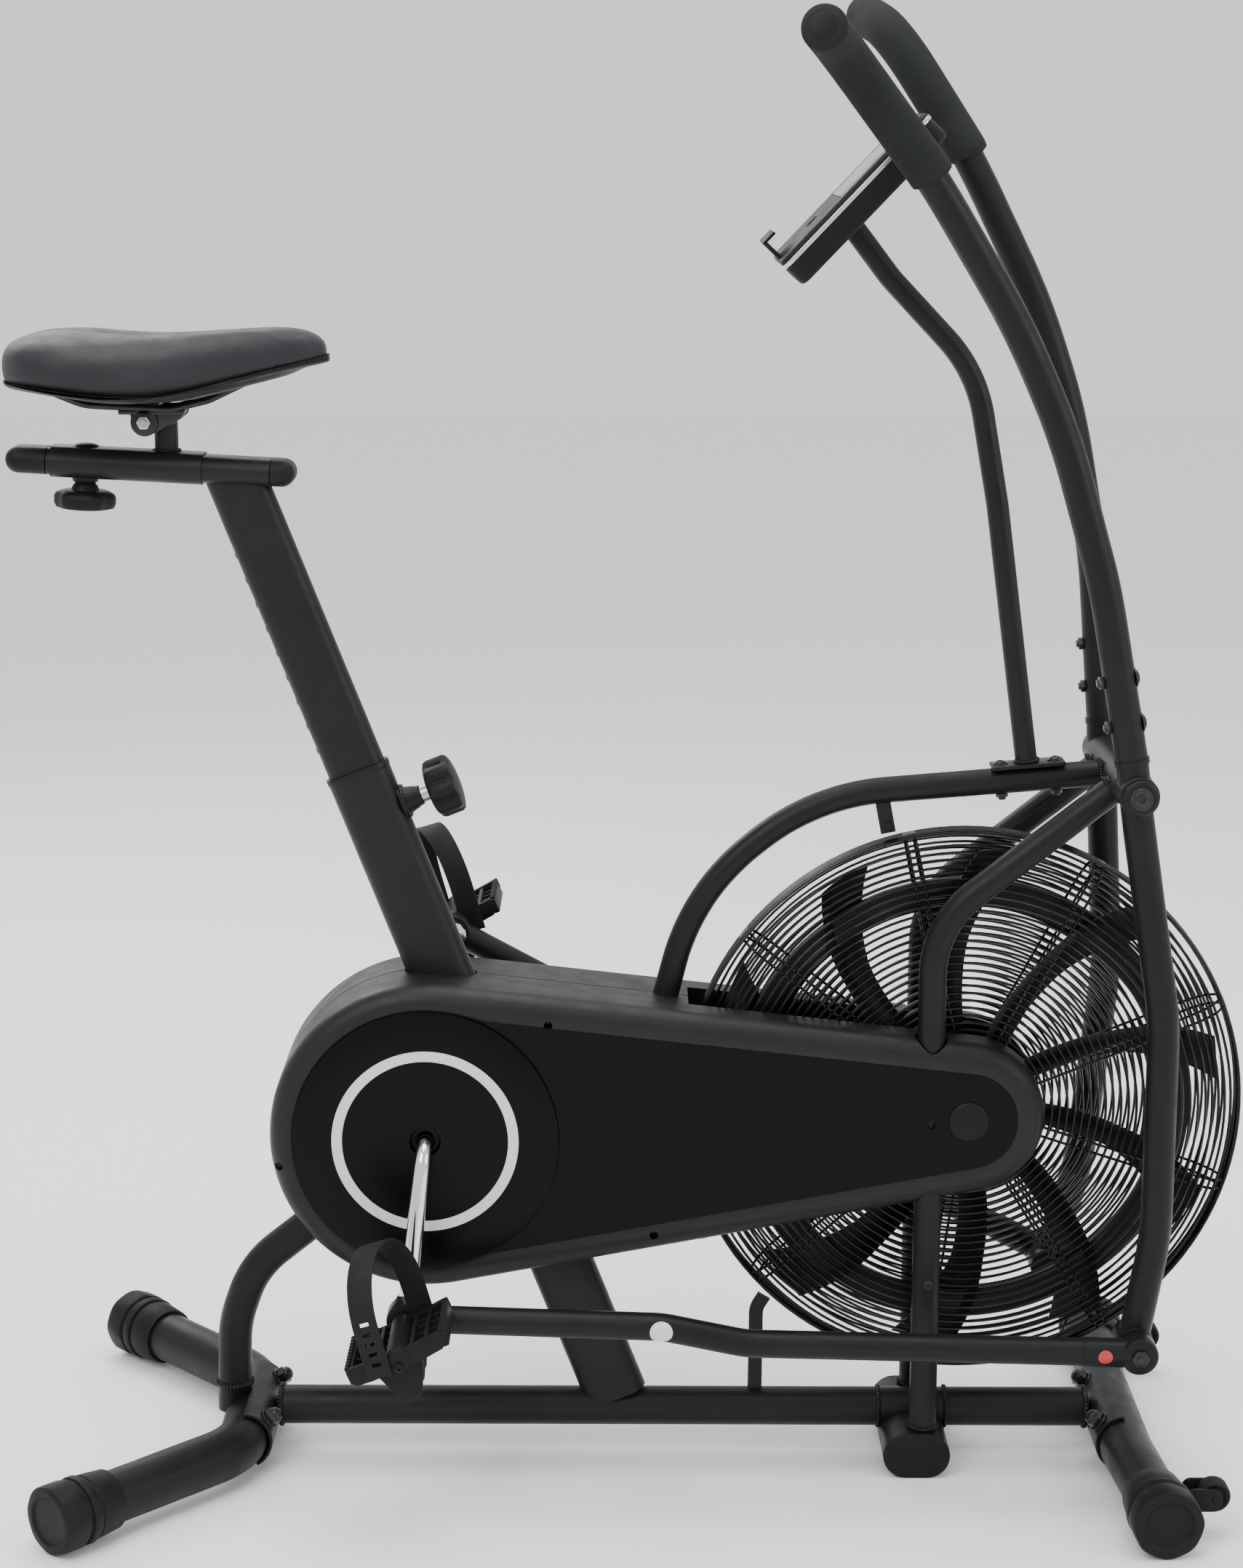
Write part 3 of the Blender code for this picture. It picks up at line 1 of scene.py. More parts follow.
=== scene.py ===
"""Air bike: its visible model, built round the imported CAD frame. Metres; +X forward, -Y the rider's right."""
import json
from math import acos, atan2, copysign, cos, exp, hypot, pi, radians, sin, sqrt, tan

import bmesh
import bpy
from mathutils import Matrix, Vector


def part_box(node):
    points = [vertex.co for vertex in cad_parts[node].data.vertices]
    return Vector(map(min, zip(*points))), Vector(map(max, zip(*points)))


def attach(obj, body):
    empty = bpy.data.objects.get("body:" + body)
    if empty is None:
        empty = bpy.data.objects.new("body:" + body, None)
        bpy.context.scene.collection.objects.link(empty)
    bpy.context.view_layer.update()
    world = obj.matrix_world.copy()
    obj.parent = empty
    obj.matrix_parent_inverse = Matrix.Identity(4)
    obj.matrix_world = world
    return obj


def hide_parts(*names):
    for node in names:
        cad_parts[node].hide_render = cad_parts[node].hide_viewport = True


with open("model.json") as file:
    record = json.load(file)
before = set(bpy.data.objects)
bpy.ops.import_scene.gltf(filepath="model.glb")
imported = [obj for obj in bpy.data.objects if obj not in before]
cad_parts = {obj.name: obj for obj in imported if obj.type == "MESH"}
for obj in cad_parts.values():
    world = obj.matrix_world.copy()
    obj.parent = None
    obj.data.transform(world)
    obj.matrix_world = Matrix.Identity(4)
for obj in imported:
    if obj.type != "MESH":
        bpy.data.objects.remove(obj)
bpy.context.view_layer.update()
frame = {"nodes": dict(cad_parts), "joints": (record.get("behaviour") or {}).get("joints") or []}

# ---------------------------------------------------------------- places and sizes, from the frame
X, Y, Z = Vector((1, 0, 0)), Vector((0, 1, 0)), Vector((0, 0, 1))
SIDES = {"right": -1, "left": 1}
JOINTS = {joint["name"]: joint for joint in frame["joints"]}


def pivot_of(joint):
    return Vector(JOINTS[joint]["pos_m"])


def axis_of(joint):
    return Vector(JOINTS[joint]["axis"]).normalized()


CRANK = pivot_of("crank_spin")
FAN = pivot_of("fan_spin")
PIVOT = pivot_of("handle_right_swing")
CRANK_PIN = {name: pivot_of(f"pedal_{name}_turn") for name in SIDES}
TILT_AXIS = pivot_of("saddle_tilt")
SEAT_UP = axis_of("seat_height")
SEAT_FORE = axis_of("height_knob_pull")
RAIL_FORE = axis_of("seat_fore_aft")
RAIL_UP = -axis_of("slider_knob_turn")

RAIL_RADIUS = 0.019
FOOT_RADIUS = 0.025
CAP_RADIUS = 0.0335
ARM_RADIUS = 0.015
GRIP_RADIUS = 0.0205
ROD_RADIUS = 0.0132
STRUT_RADIUS = 0.0133
BRACE_RADIUS = 0.0165
TOP_TUBE_RADIUS = 0.0125
POST_RADIUS = 0.0105
CROSS_RADIUS = 0.019
ROCKER = 0.532  # handle pivot to the rod's front eye
RIGHT_SWING = radians(1.6)
ARM_Y = 0.105
STRUT_Y = 0.056
ROD_Y = abs(pivot_of("rod_right_turn").y)

SLEEVE_SECTION = (0.062, 0.036)
POST_SECTION = (0.0562, 0.0302)
SEAT_TUBE_FOOT = Vector((-0.0166, 0, 0.058))
SLEEVE_TOP = SEAT_TUBE_FOOT + SEAT_UP * 0.676
POST_OUT = 0.284
SADDLE_RAIL = Vector((-0.452, 0, 0.9755))
STEM_X = -0.4375
KNOB_BACK = -0.0615  # the rail knob's place along the rail
PIN_DROP = 0.0455  # the pull pin's place below the seat tube's mouth

CAGE_RADIUS = (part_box("cage_right")[1].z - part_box("cage_right")[0].z) / 2
CAGE_HALF_WIDTH = 0.0295
DRUM_RADIUS = 0.15
NOSE_RADIUS = 0.074
COVER_HALF_DEPTH = 0.073
ARCH_RADIUS = 0.286
ARCH_HALF_WIDTH = 0.031


def arm_foot(swing):
    """Centre of an arm's lower eye when it has swung forward by this angle from straight down."""
    return PIVOT + Vector((sin(swing), 0, -cos(swing))) * ROCKER


ROD_LENGTH = (arm_foot(RIGHT_SWING) - CRANK_PIN["right"] + Y * CRANK_PIN["right"].y).length


def left_swing():
    """The left arm's swing, from the triangle of handle pivot, left crank pin and rod."""
    to_pin = CRANK_PIN["left"] - PIVOT
    to_pin.y = 0
    cosine = (ROCKER**2 + to_pin.length**2 - ROD_LENGTH**2) / (2 * ROCKER * to_pin.length)
    return atan2(to_pin.x, -to_pin.z) + acos(cosine)


SWING = {"right": RIGHT_SWING, "left": left_swing()}


# ---------------------------------------------------------------- camera, light and floor
def build_stage():
    data = bpy.data.cameras.new("camera")
    data.sensor_width = 36
    data.lens = 72.6
    camera = bpy.data.objects.new("camera", data)
    camera.location = (-0.0123, -2.9526, 1.2796)
    pitch, roll = radians(78.39), radians(0.18)
    camera.rotation_euler = (Matrix.Rotation(pitch, 3, "X") @ Matrix.Rotation(roll, 3, "Z")).to_euler()
    bpy.context.collection.objects.link(camera)
    bpy.context.scene.camera = camera

    world = bpy.data.worlds.new("studio")
    bpy.context.scene.world = world
    world.use_nodes = True
    world.node_tree.nodes["Background"].inputs["Color"].default_value = (0.93, 0.94, 0.96, 1)
    world.node_tree.nodes["Background"].inputs["Strength"].default_value = 1.15

    for name, place, target, size, power in (
        ("key", (-1.4, -2.2, 2.9), (0, 0, 0.6), 1.8, 55),
        ("top", (0.1, 0.1, 3.2), (0, 0, 0.5), 2.2, 70),
        ("side", (2.6, -1.2, 1.6), (0.1, 0, 0.6), 1.4, 25),
        ("rim", (-1.5, 2.4, 2.4), (0, 0, 0.6), 1.6, 40),
    ):
        lamp = bpy.data.lights.new(name, "AREA")
        lamp.size = size
        lamp.energy = power
        light = bpy.data.objects.new(name, lamp)
        light.location = place
        light.rotation_euler = (Vector(target) - Vector(place)).to_track_quat("-Z", "Y").to_euler()
        bpy.context.collection.objects.link(light)

    bm = bmesh.new()
    bmesh.ops.create_grid(bm, x_segments=1, y_segments=1, size=12)
    mesh = bpy.data.meshes.new("floor")
    bm.to_mesh(mesh)
    bm.free()
    floor = bpy.data.objects.new("floor", mesh)
    bpy.context.collection.objects.link(floor)
    mesh.materials.append(plain("floor_paint", (0.95, 0.95, 0.955), 0.7))


# ---------------------------------------------------------------- materials
PATCHES_PER_METRE = 11.0


def plain(name, colour, roughness, metallic=0.0):
    material = bpy.data.materials.new(name)
    material.use_nodes = True
    shader = material.node_tree.nodes["Principled BSDF"]
    shader.inputs["Base Color"].default_value = (*colour, 1)
    shader.inputs["Roughness"].default_value = roughness
    shader.inputs["Metallic"].default_value = metallic
    return material


def noise(tree, scale, detail=2.0, kind="ShaderNodeTexNoise"):
    """A noise or cell texture in object space, its scale in features per metre."""
    place = tree.nodes.new("ShaderNodeTexCoord")
    made = tree.nodes.new(kind)
    made.inputs["Scale"].default_value = scale
    if "Detail" in made.inputs:
        made.inputs["Detail"].default_value = detail
    tree.links.new(place.outputs["Object"], made.inputs["Vector"])
    return made


def spread(tree, source, low, high, start=0.3, end=0.7):
    """Map a texture's middle range onto low to high."""
    made = tree.nodes.new("ShaderNodeMapRange")
    made.inputs["From Min"].default_value = start
    made.inputs["From Max"].default_value = end
    made.inputs["To Min"].default_value = low
    made.inputs["To Max"].default_value = high
    tree.links.new(source, made.inputs["Value"])
    return made.outputs["Result"]


def blend_colours(tree, factor, first, second):
    made = tree.nodes.new("ShaderNodeMix")
    made.data_type = "RGBA"
    tree.links.new(factor, made.inputs[0])
    for socket, value in ((6, first), (7, second)):
        if isinstance(value, tuple):
            made.inputs[socket].default_value = (*value, 1)
        else:
            tree.links.new(value, made.inputs[socket])
    return made.outputs[2]


def grained(name, colour, roughness, grain, height, metallic=0.0, cells=False, tint=0.15,
            span=0.07, wear=0.0, coat=0.0, specular=0.5):
    """A coated or moulded surface: fine grain, patchy colour and gloss, and paler worn edges."""
    material = plain(name, colour, roughness, metallic)
    tree = material.node_tree
    shader = tree.nodes["Principled BSDF"]
    shader.inputs["Coat Weight"].default_value = coat
    shader.inputs["Coat Roughness"].default_value = 0.12
    shader.inputs["Specular IOR Level"].default_value = specular
    patches = noise(tree, PATCHES_PER_METRE, 4.0).outputs["Fac"]
    dark, light = (tuple(c * (1 + way * tint) for c in colour) for way in (-1, 1))
    shade = blend_colours(tree, spread(tree, patches, 0, 1), dark, light)
    if wear:
        edges = tree.nodes.new("ShaderNodeNewGeometry").outputs["Pointiness"]
        worn = spread(tree, edges, 0, wear, 0.52, 0.6)
        shade = blend_colours(tree, worn, shade, tuple(min(1, c * 3 + 0.02) for c in colour))
    tree.links.new(shade, shader.inputs["Base Color"])
    smudges = noise(tree, PATCHES_PER_METRE * 4, 3.0).outputs["Fac"]
    gloss = spread(tree, smudges, roughness - span, roughness + span)
    tree.links.new(gloss, shader.inputs["Roughness"])
    if cells:
        relief = noise(tree, grain, kind="ShaderNodeTexVoronoi").outputs["Distance"]
    else:
        relief = noise(tree, grain, 3.0).outputs["Fac"]
    bump = tree.nodes.new("ShaderNodeBump")
    bump.inputs["Distance"].default_value = height
    bump.inputs["Strength"].default_value = 0.6
    tree.links.new(relief, bump.inputs["Height"])
    tree.links.new(bump.outputs["Normal"], shader.inputs["Normal"])
    return material


POWDER = grained("powder_coat", (0.0062, 0.007, 0.0078), 0.42, 620, 0.0001, wear=0.1, specular=0.17)
MOULDED = grained("moulded_plastic", (0.0058, 0.006, 0.0063), 0.52, 900, 0.00012, wear=0.08, specular=0.15)
HOUSING = grained("housing_plastic", (0.0075, 0.0078, 0.0084), 0.44, 1100, 0.00007, wear=0.06, specular=0.24)
PANEL = grained("panel_gloss", (0.0016, 0.0017, 0.0018), 0.3, 300, 0.00002, span=0.04, specular=0.1)
WHITE = grained("white_print", (0.62, 0.61, 0.65), 0.4, 500, 0.00003, tint=0.04)
CHROME = grained("chrome", (0.74, 0.74, 0.76), 0.09, 160, 0.00001, metallic=1.0, tint=0.03, span=0.04)
STEEL = grained("bare_steel", (0.42, 0.42, 0.43), 0.34, 1500, 0.00003, metallic=1.0, tint=0.1)
BLACK_ZINC = grained("black_zinc", (0.016, 0.016, 0.017), 0.32, 700, 0.00004, metallic=0.5, wear=0.12)
VINYL = grained("saddle_vinyl", (0.0115, 0.012, 0.014), 0.54, 1150, 0.00016, cells=True, tint=0.12,
                specular=0.3)
FOAM = grained("grip_foam", (0.013, 0.0142, 0.0152), 0.86, 1500, 0.0003, cells=True, tint=0.2,
               specular=0.15)
RUBBER = grained("rubber", (0.0075, 0.0075, 0.0078), 0.66, 800, 0.0001, tint=0.25, specular=0.2)
WIRE = grained("guard_wire", (0.003, 0.0031, 0.0034), 0.32, 400, 0.00005, span=0.06, specular=0.25)
FAN_PLASTIC = grained("fan_plastic", (0.0035, 0.0036, 0.0038), 0.4, 700, 0.00006, span=0.08, specular=0.2)
LENS = grained("display_lens", (0.004, 0.005, 0.006), 0.1, 90, 0.00001, span=0.03, coat=0.3, specular=0.3)
LCD = grained("display_glass", (0.16, 0.18, 0.16), 0.25, 400, 0.00001, tint=0.05)
SILVER = grained("silver_trim", (0.55, 0.56, 0.58), 0.28, 900, 0.00003, metallic=0.9, tint=0.05)
RED = grained("red_mark", (0.42, 0.03, 0.022), 0.45, 600, 0.00003, tint=0.08)


# ---------------------------------------------------------------- shapes, as bmeshes in world places
def bent_path(corners, bend_radius, steps=10):
    """Straight runs between corners, joined by arcs."""
    corners = [Vector(corner) for corner in corners]
    points = [corners[0]]
    for before, corner, after in zip(corners, corners[1:], corners[2:]):
        back = (before - corner).normalized()
        ahead = (after - corner).normalized()
        half = back.angle(ahead) / 2
        longest = 0.48 * min((before - corner).length, (after - corner).length)
        setback = min(bend_radius / tan(half), longest)
        radius = setback * tan(half)
        centre = corner + (back + ahead).normalized() * (radius / sin(half))
        arm = corner + back * setback - centre
        axis = arm.cross(corner + ahead * setback - centre)
        for step in range(steps + 1):
            turn = Matrix.Rotation((pi - 2 * half) * step / steps, 3, axis)
            points.append(centre + turn @ arm)
    points.append(corners[-1])
    return points


def sided(points, side):
    return [Vector((p[0], abs(p[1]) * side, p[2])) for p in points]


def turned_about(points, centre, angle):
    spin = Matrix.Rotation(angle, 3, "Y")
    return [centre + spin @ (Vector(p) - centre) for p in points]


def placed(origin, along, across=Y):
    """A placing matrix with local Z along a direction and local Y as near to across as can be."""
    along = Vector(along).normalized()
    first = Vector(across).cross(along).normalized()
    second = along.cross(first)
    turn = Matrix((first, second, along)).transposed().to_4x4()
    return Matrix.Translation(origin) @ turn


def outward(origin, side):
    """A placing matrix whose local Z points out to one side of the bike."""
    return placed(origin, Y * side, Z)


def translation(x, y, z):
    return Matrix.Translation((x, y, z))


UPRIGHT = Matrix.Rotation(pi / 2, 4, "X")  # stands a flat outline up, so that it faces sideways


def circle(radius, sides=24):
    return [(radius * cos(2 * pi * k / sides), radius * sin(2 * pi * k / sides)) for k in range(sides)]


def oval(width, depth, arc_steps=10):
    """A flat-sided oval, its width along local X and its depth along local Y."""
    radius = min(width, depth) / 2
    straight = (width - depth) / 2
    outline = []
    for end in (0, 1):
        for step in range(arc_steps + 1):
            angle = pi * (end + step / arc_steps) - pi / 2
            shift = straight if end == 0 else -straight
            outline.append((shift + radius * cos(angle), radius * sin(angle)))
    return outline


def flat_oval(across, height, arc_steps=10):
    """An oval with its longer side across the bike, for bars that run along it."""
    return [(v, u) for u, v in oval(across, height, arc_steps)][::-1]


def rounded_rectangle(width, depth, radius, arc_steps=4):
    outline = []
    for quarter in range(4):
        sign_x, sign_y = ((1, 1), (-1, 1), (-1, -1), (1, -1))[quarter]
        centre = (sign_x * (width / 2 - radius), sign_y * (depth / 2 - radius))
        for step in range(arc_steps + 1):
            angle = pi / 2 * (quarter + step / arc_steps)
            outline.append((centre[0] + radius * cos(angle), centre[1] + radius * sin(angle)))
    return outline


def mirrored(profile):
    """A turned profile completed by its mirror image below."""
    return profile + [(radius, -height) for radius, height in reversed(profile)]


def ring_at(bm, place, outline, grow=1.0):
    return [bm.verts.new(place @ Vector((u * grow, v * grow, 0))) for u, v in outline]


def bridge(bm, rings, flip=False):
    """Faces between each ring and the next, which have the same number of points."""
    for ring, after in zip(rings, rings[1:]):
        for k in range(len(ring)):
            beside = (k + 1) % len(ring)
            if flip:
                bm.faces.new((ring[k], after[k], after[beside], ring[beside]))
            else:
                bm.faces.new((ring[k], ring[beside], after[beside], after[k]))


def close_ends(bm, rings):
    bm.faces.new(rings[0][::-1])
    bm.faces.new(rings[-1])


def sweep(points, outline, across=Y, closed=False, scales=None):
    """Carry an outline along a path, keeping its local Y near to across."""
    points = [Vector(p) for p in points]
    bm = bmesh.new()
    rings = []
    count = len(points)
    for index, point in enumerate(points):
        before = points[(index - 1) % count] if closed or index else point
        after = points[(index + 1) % count] if closed or index < count - 1 else point
        along = (after - before).normalized()
        grow = scales[index] if scales else 1.0
        rings.append(ring_at(bm, placed(point, along, across), outline, grow))
    bridge(bm, rings + rings[:1] if closed else rings)
    if not closed:
        close_ends(bm, rings)
    return bm


def stacked(stations, along):
    """A closed skin over outlines with the same number of points, each at its own place."""
    bm = bmesh.new()
    rings = [ring_at(bm, placed(point, along), outline) for point, outline in stations]
    bridge(bm, rings)
    close_ends(bm, rings)
    return bm


def hollow_bar(start, end, outer, inner):
    """A straight sleeve between two outlines with the same number of points."""
    along = (Vector(end) - Vector(start)).normalized()
    bm = bmesh.new()
    stations = ((start, outer), (end, outer), (end, inner), (start, inner))
    rings = [ring_at(bm, placed(point, along), outline) for point, outline in stations]
    bridge(bm, rings + rings[:1])
    return bm


def tube(points, radius, sides=28, across=None, scales=None):
    points = [Vector(p) for p in points]
    if across is None:
        across = Y if abs((points[-1] - points[0]).normalized().y) < 0.8 else Z
    return sweep(points, circle(radius, sides), across, scales=scales)


def turned(profile, place, steps=48, lobes=0):
    """A turned shape from (radius, height[, lobe depth]) points; a zero radius closes it on the axis."""
    bm = bmesh.new()
    rings = []
    for point in profile:
        radius, height = point[:2]
        depth = point[2] if len(point) > 2 else 0.0
        if radius < 1e-6:
            rings.append([bm.verts.new(place @ Vector((0, 0, height)))])
            continue
        ring = []
        for step in range(steps):
            angle = 2 * pi * step / steps
            reach = radius - depth * (1 - cos(lobes * angle)) / 2
            ring.append(bm.verts.new(place @ Vector((reach * cos(angle), reach * sin(angle), height))))
        rings.append(ring)
    closed = len(rings[0]) > 1 and len(rings[-1]) > 1
    pairs = list(zip(rings, rings[1:])) + ([(rings[-1], rings[0])] if closed else [])
    for ring, after in pairs:
        for k in range(steps):
            beside = (k + 1) % steps
            corners = [ring[k % len(ring)], after[k % len(after)], after[beside % len(after)],
                       ring[beside % len(ring)]]
            distinct = list(dict.fromkeys(corners))
            if len(distinct) > 2:
                bm.faces.new(distinct)
    return bm


def drum(radius, top, foot, place, steps):
    return turned([(0, top), (radius, top), (radius, foot), (0, foot)], place, steps)


def slab(outline, place, depth, bevel=0.0, segments=2):
    """A flat outline in the local XY plane, pulled out along local Z, its edges rounded."""
    bm = bmesh.new()
    base = bm.faces.new([bm.verts.new((u, v, 0)) for u, v in outline])
    pulled = bmesh.ops.extrude_face_region(bm, geom=[base])
    moved = [item for item in pulled["geom"] if isinstance(item, bmesh.types.BMVert)]
    bmesh.ops.translate(bm, vec=(0, 0, depth), verts=moved)
    if bevel:
        ends = [e for e in bm.edges if abs(e.verts[0].co.z - e.verts[1].co.z) < 1e-7]
        bmesh.ops.bevel(bm, geom=ends, offset=bevel, segments=segments, profile=0.5, affect="EDGES")
    bmesh.ops.transform(bm, matrix=place, verts=bm.verts)
    return bm


def brick(size, place, rounding=0.001, segments=2):
    """A box with rounded edges, its three sizes along the placing matrix's axes."""
    bm = bmesh.new()
    bmesh.ops.create_cube(bm, size=1)
    bmesh.ops.scale(bm, vec=size, verts=bm.verts)
    bmesh.ops.bevel(bm, geom=bm.edges[:], offset=rounding, segments=segments, profile=0.5, affect="EDGES")
    bmesh.ops.transform(bm, matrix=place, verts=bm.verts)
    return bm


def rod_between(start, end, radius, sides=20):
    """A plain bar with chamfered ends."""
    chamfer = 0.0006
    along = Vector(end) - Vector(start)
    across = Y if abs(along.normalized().y) < 0.9 else Z
    profile = [
        (0, along.length), (radius - chamfer, along.length), (radius, along.length - chamfer),
        (radius, chamfer), (radius - chamfer, 0), (0, 0),
    ]
    return turned(profile, placed(start, along, across), sides)


def dome_bolt(place, radius=0.0075, height=0.0045):
    """Button-head bolt with a washer under it and a socket in its dome."""
    lip = radius * 1.35
    washer = turned([(0, 0.0012), (radius * 1.3, 0.0012), (lip, 0.0008), (lip, 0), (0, 0)], place, 28)
    dome = [(0, height - 0.0022), (radius * 0.34, height - 0.0022), (radius * 0.36, height)]
    dome += [(radius * sin(a), 0.0012 + (height - 0.0012) * cos(a) ** 0.8) for a in (0.55, 0.85, 1.15, 1.4)]
    dome += [(radius, 0.0012), (radius, 0.0004), (0, 0.0004)]
    return [washer, turned(dome, place, 28)]


def hex_nut(place, across_flats=0.013, height=0.007, dome=False):
    """Hexagon nut with chamfered corners, closed by a dome on a cap nut."""
    corner = across_flats / 2 / cos(pi / 6)
    shapes = [slab(circle(corner, 6), place, height, 0.0007)]
    if dome:
        radius = across_flats * 0.46
        cap = [(0, height + radius * 0.85)]
        cap += [(radius * sin(a), height + radius * 0.85 * cos(a)) for a in (0.35, 0.7, 1.05, 1.35)]
        cap += [(radius, height - 0.001), (0, height - 0.001)]
        shapes.append(turned(cap, place, 24))
    else:
        shapes.append(turned([(0, height + 0.002), (0.0032, height + 0.002), (0.0036, height + 0.0014),
                              (0.0036, height - 0.001), (0, height - 0.001)], place, 16))
    return shapes


def weld(centre, axis, radius, bead=0.0028, ripples=34, across=Y):
    """A rippled bead of weld laid round a tube."""
    place = placed(centre, axis, across)
    sections = ripples * 4
    bm = bmesh.new()
    rings = []
    for k in range(sections):
        angle = 2 * pi * k / sections
        out = Vector((cos(angle), sin(angle), 0))
        size = bead * (0.86 + 0.14 * cos(ripples * angle))
        ring = []
        for step in range(8):
            turn = 2 * pi * step / 8
            point = out * (radius + size * cos(turn)) + Z * size * sin(turn)
            ring.append(bm.verts.new(place @ point))
        rings.append(ring)
    bridge(bm, rings + rings[:1], flip=True)
    return bm


def piece(name, shapes, look, body, *replaced, slot=None, sharp=38):
    """Join shapes into one object that rides a body, with its material, and hide the CAD nodes it stands for.
    """
    whole = bmesh.new()
    for shape in shapes:
        loose = bpy.data.meshes.new("loose")
        shape.to_mesh(loose)
        shape.free()
        whole.from_mesh(loose)
        bpy.data.meshes.remove(loose)
    bmesh.ops.recalc_face_normals(whole, faces=whole.faces)
    mesh = bpy.data.meshes.new(name)
    whole.to_mesh(mesh)
    whole.free()
    mesh.materials.append(look)
    mesh.shade_smooth()
    mesh.set_sharp_from_angle(angle=radians(sharp))
    made = bpy.data.objects.new(name, mesh)
    bpy.context.collection.objects.link(made)
    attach(made, body)
    if replaced:
        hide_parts(*replaced)
    return made


def carve(target, cutters):
    """Cut shapes out of a piece, and keep the result as its mesh."""
    tools = []
    for index, shape in enumerate(cutters):
        mesh = bpy.data.meshes.new("cutter")
        bmesh.ops.recalc_face_normals(shape, faces=shape.faces)
        shape.to_mesh(mesh)
        shape.free()
        tool = bpy.data.objects.new(f"cutter_{index}", mesh)
        bpy.context.collection.objects.link(tool)
        modifier = target.modifiers.new(f"cut_{index}", "BOOLEAN")
        modifier.operation = "DIFFERENCE"
        modifier.solver = "EXACT"
        modifier.object = tool
        tools.append(tool)
    bpy.context.view_layer.update()
    graph = bpy.context.evaluated_depsgraph_get()
    mesh = bpy.data.meshes.new_from_object(target.evaluated_get(graph))
    target.modifiers.clear()
    target.data = mesh
    mesh.shade_smooth()
    mesh.set_sharp_from_angle(angle=radians(38))
    for tool in tools:
        bpy.data.objects.remove(tool, do_unlink=True)
    return target


# ---------------------------------------------------------------- frame tubes
RAIL_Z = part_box("base_rail")[0].z + RAIL_RADIUS
REAR_FOOT_X = -0.378
FRONT_FOOT_X = 0.479
FOOT_HEIGHT = CAP_RADIUS
CROSS_FOOT_X = 0.2765
STRUT_X = 0.283
BRACE_PATH = bent_path(
    [(-0.394, 0, 0.04), (-0.392, 0, 0.13), (-0.372, 0, 0.188), (-0.322, 0, 0.228), CRANK], 0.12
)
TOP_TUBE_PATH = bent_path(
    [(-0.1, 0, 0.372), (0.01, 0, 0.384), (0.057, 0, 0.568), (0.172, 0, 0.6625), PIVOT], 0.22, 14
)
STRUT_PATH = bent_path(
    [(STRUT_X, STRUT_Y, 0.0453), (STRUT_X, STRUT_Y, 0.55), (PIVOT.x, STRUT_Y, PIVOT.z + 0.005)], 0.1
)
POST_PATH = bent_path(
    [(0.373, 0, 0.6945), (0.339, 0, 0.94), (0.316, 0, 1.065), (0.235, 0, 1.15), (0.195, 0, 1.202)],
    0.14,
)


def foot_path(middle_x, end_x):
    """Centre line of a floor tube from right to left, its ends swept to end_x."""
    corners = []
    for side in (-1, 1):
        end = (end_x, 0.244 * side, FOOT_HEIGHT)
        elbow = (middle_x, 0.085 * side, FOOT_HEIGHT)
        corners += [end, elbow] if side < 0 else [elbow, end]
    return bent_path(corners, 0.09)


REAR_FOOT_PATH = foot_path(REAR_FOOT_X, -0.527)
FRONT_FOOT_PATH = foot_path(FRONT_FOOT_X, 0.4906)


def strip(points, width, thickness):
    """A flat strip of steel, its broad face to the side."""
    return sweep(points, rounded_rectangle(width, thickness, thickness * 0.3, 2))


def build_base():
    """The floor rail and both floor tubes, with their saddle plates, bolts and the cage's lower lug."""
    rail_ends = [(REAR_FOOT_X + 0.028, 0, RAIL_Z), (FRONT_FOOT_X - 0.028, 0, RAIL_Z)]
    lug_foot = Vector((0.1215, 0, RAIL_Z + RAIL_RADIUS - 0.002))
    lug_path = bent_path([lug_foot, (0.122, 0, 0.146), (0.1298, 0, 0.159)], 0.02, 6)
    shapes = [
        tube(rail_ends, RAIL_RADIUS, 36),
        strip(lug_path, 0.014, 0.0042),
        weld((CROSS_FOOT_X - 0.033, 0, RAIL_Z), X, RAIL_RADIUS, 0.0024),
        weld((CROSS_FOOT_X + 0.033, 0, RAIL_Z), X, RAIL_RADIUS, 0.0024),
    ]
    for x in (REAR_FOOT_X + 0.031, FRONT_FOOT_X - 0.031):
        shapes.append(weld((x, 0, RAIL_Z), X, RAIL_RADIUS, 0.0028))
    piece("rail", shapes, POWDER, "frame", "base_rail")
    for name, path in (("rear", REAR_FOOT_PATH), ("front", FRONT_FOOT_PATH)):
        piece(f"{name}_floor_tube", [tube(path, FOOT_RADIUS, 40)], POWDER, "frame", f"{name}_stabilizer")
    for name, middle_x, facing in (("rear", REAR_FOOT_X, 1), ("front", FRONT_FOOT_X, -1)):
        build_saddle_plate(name, middle_x, facing)


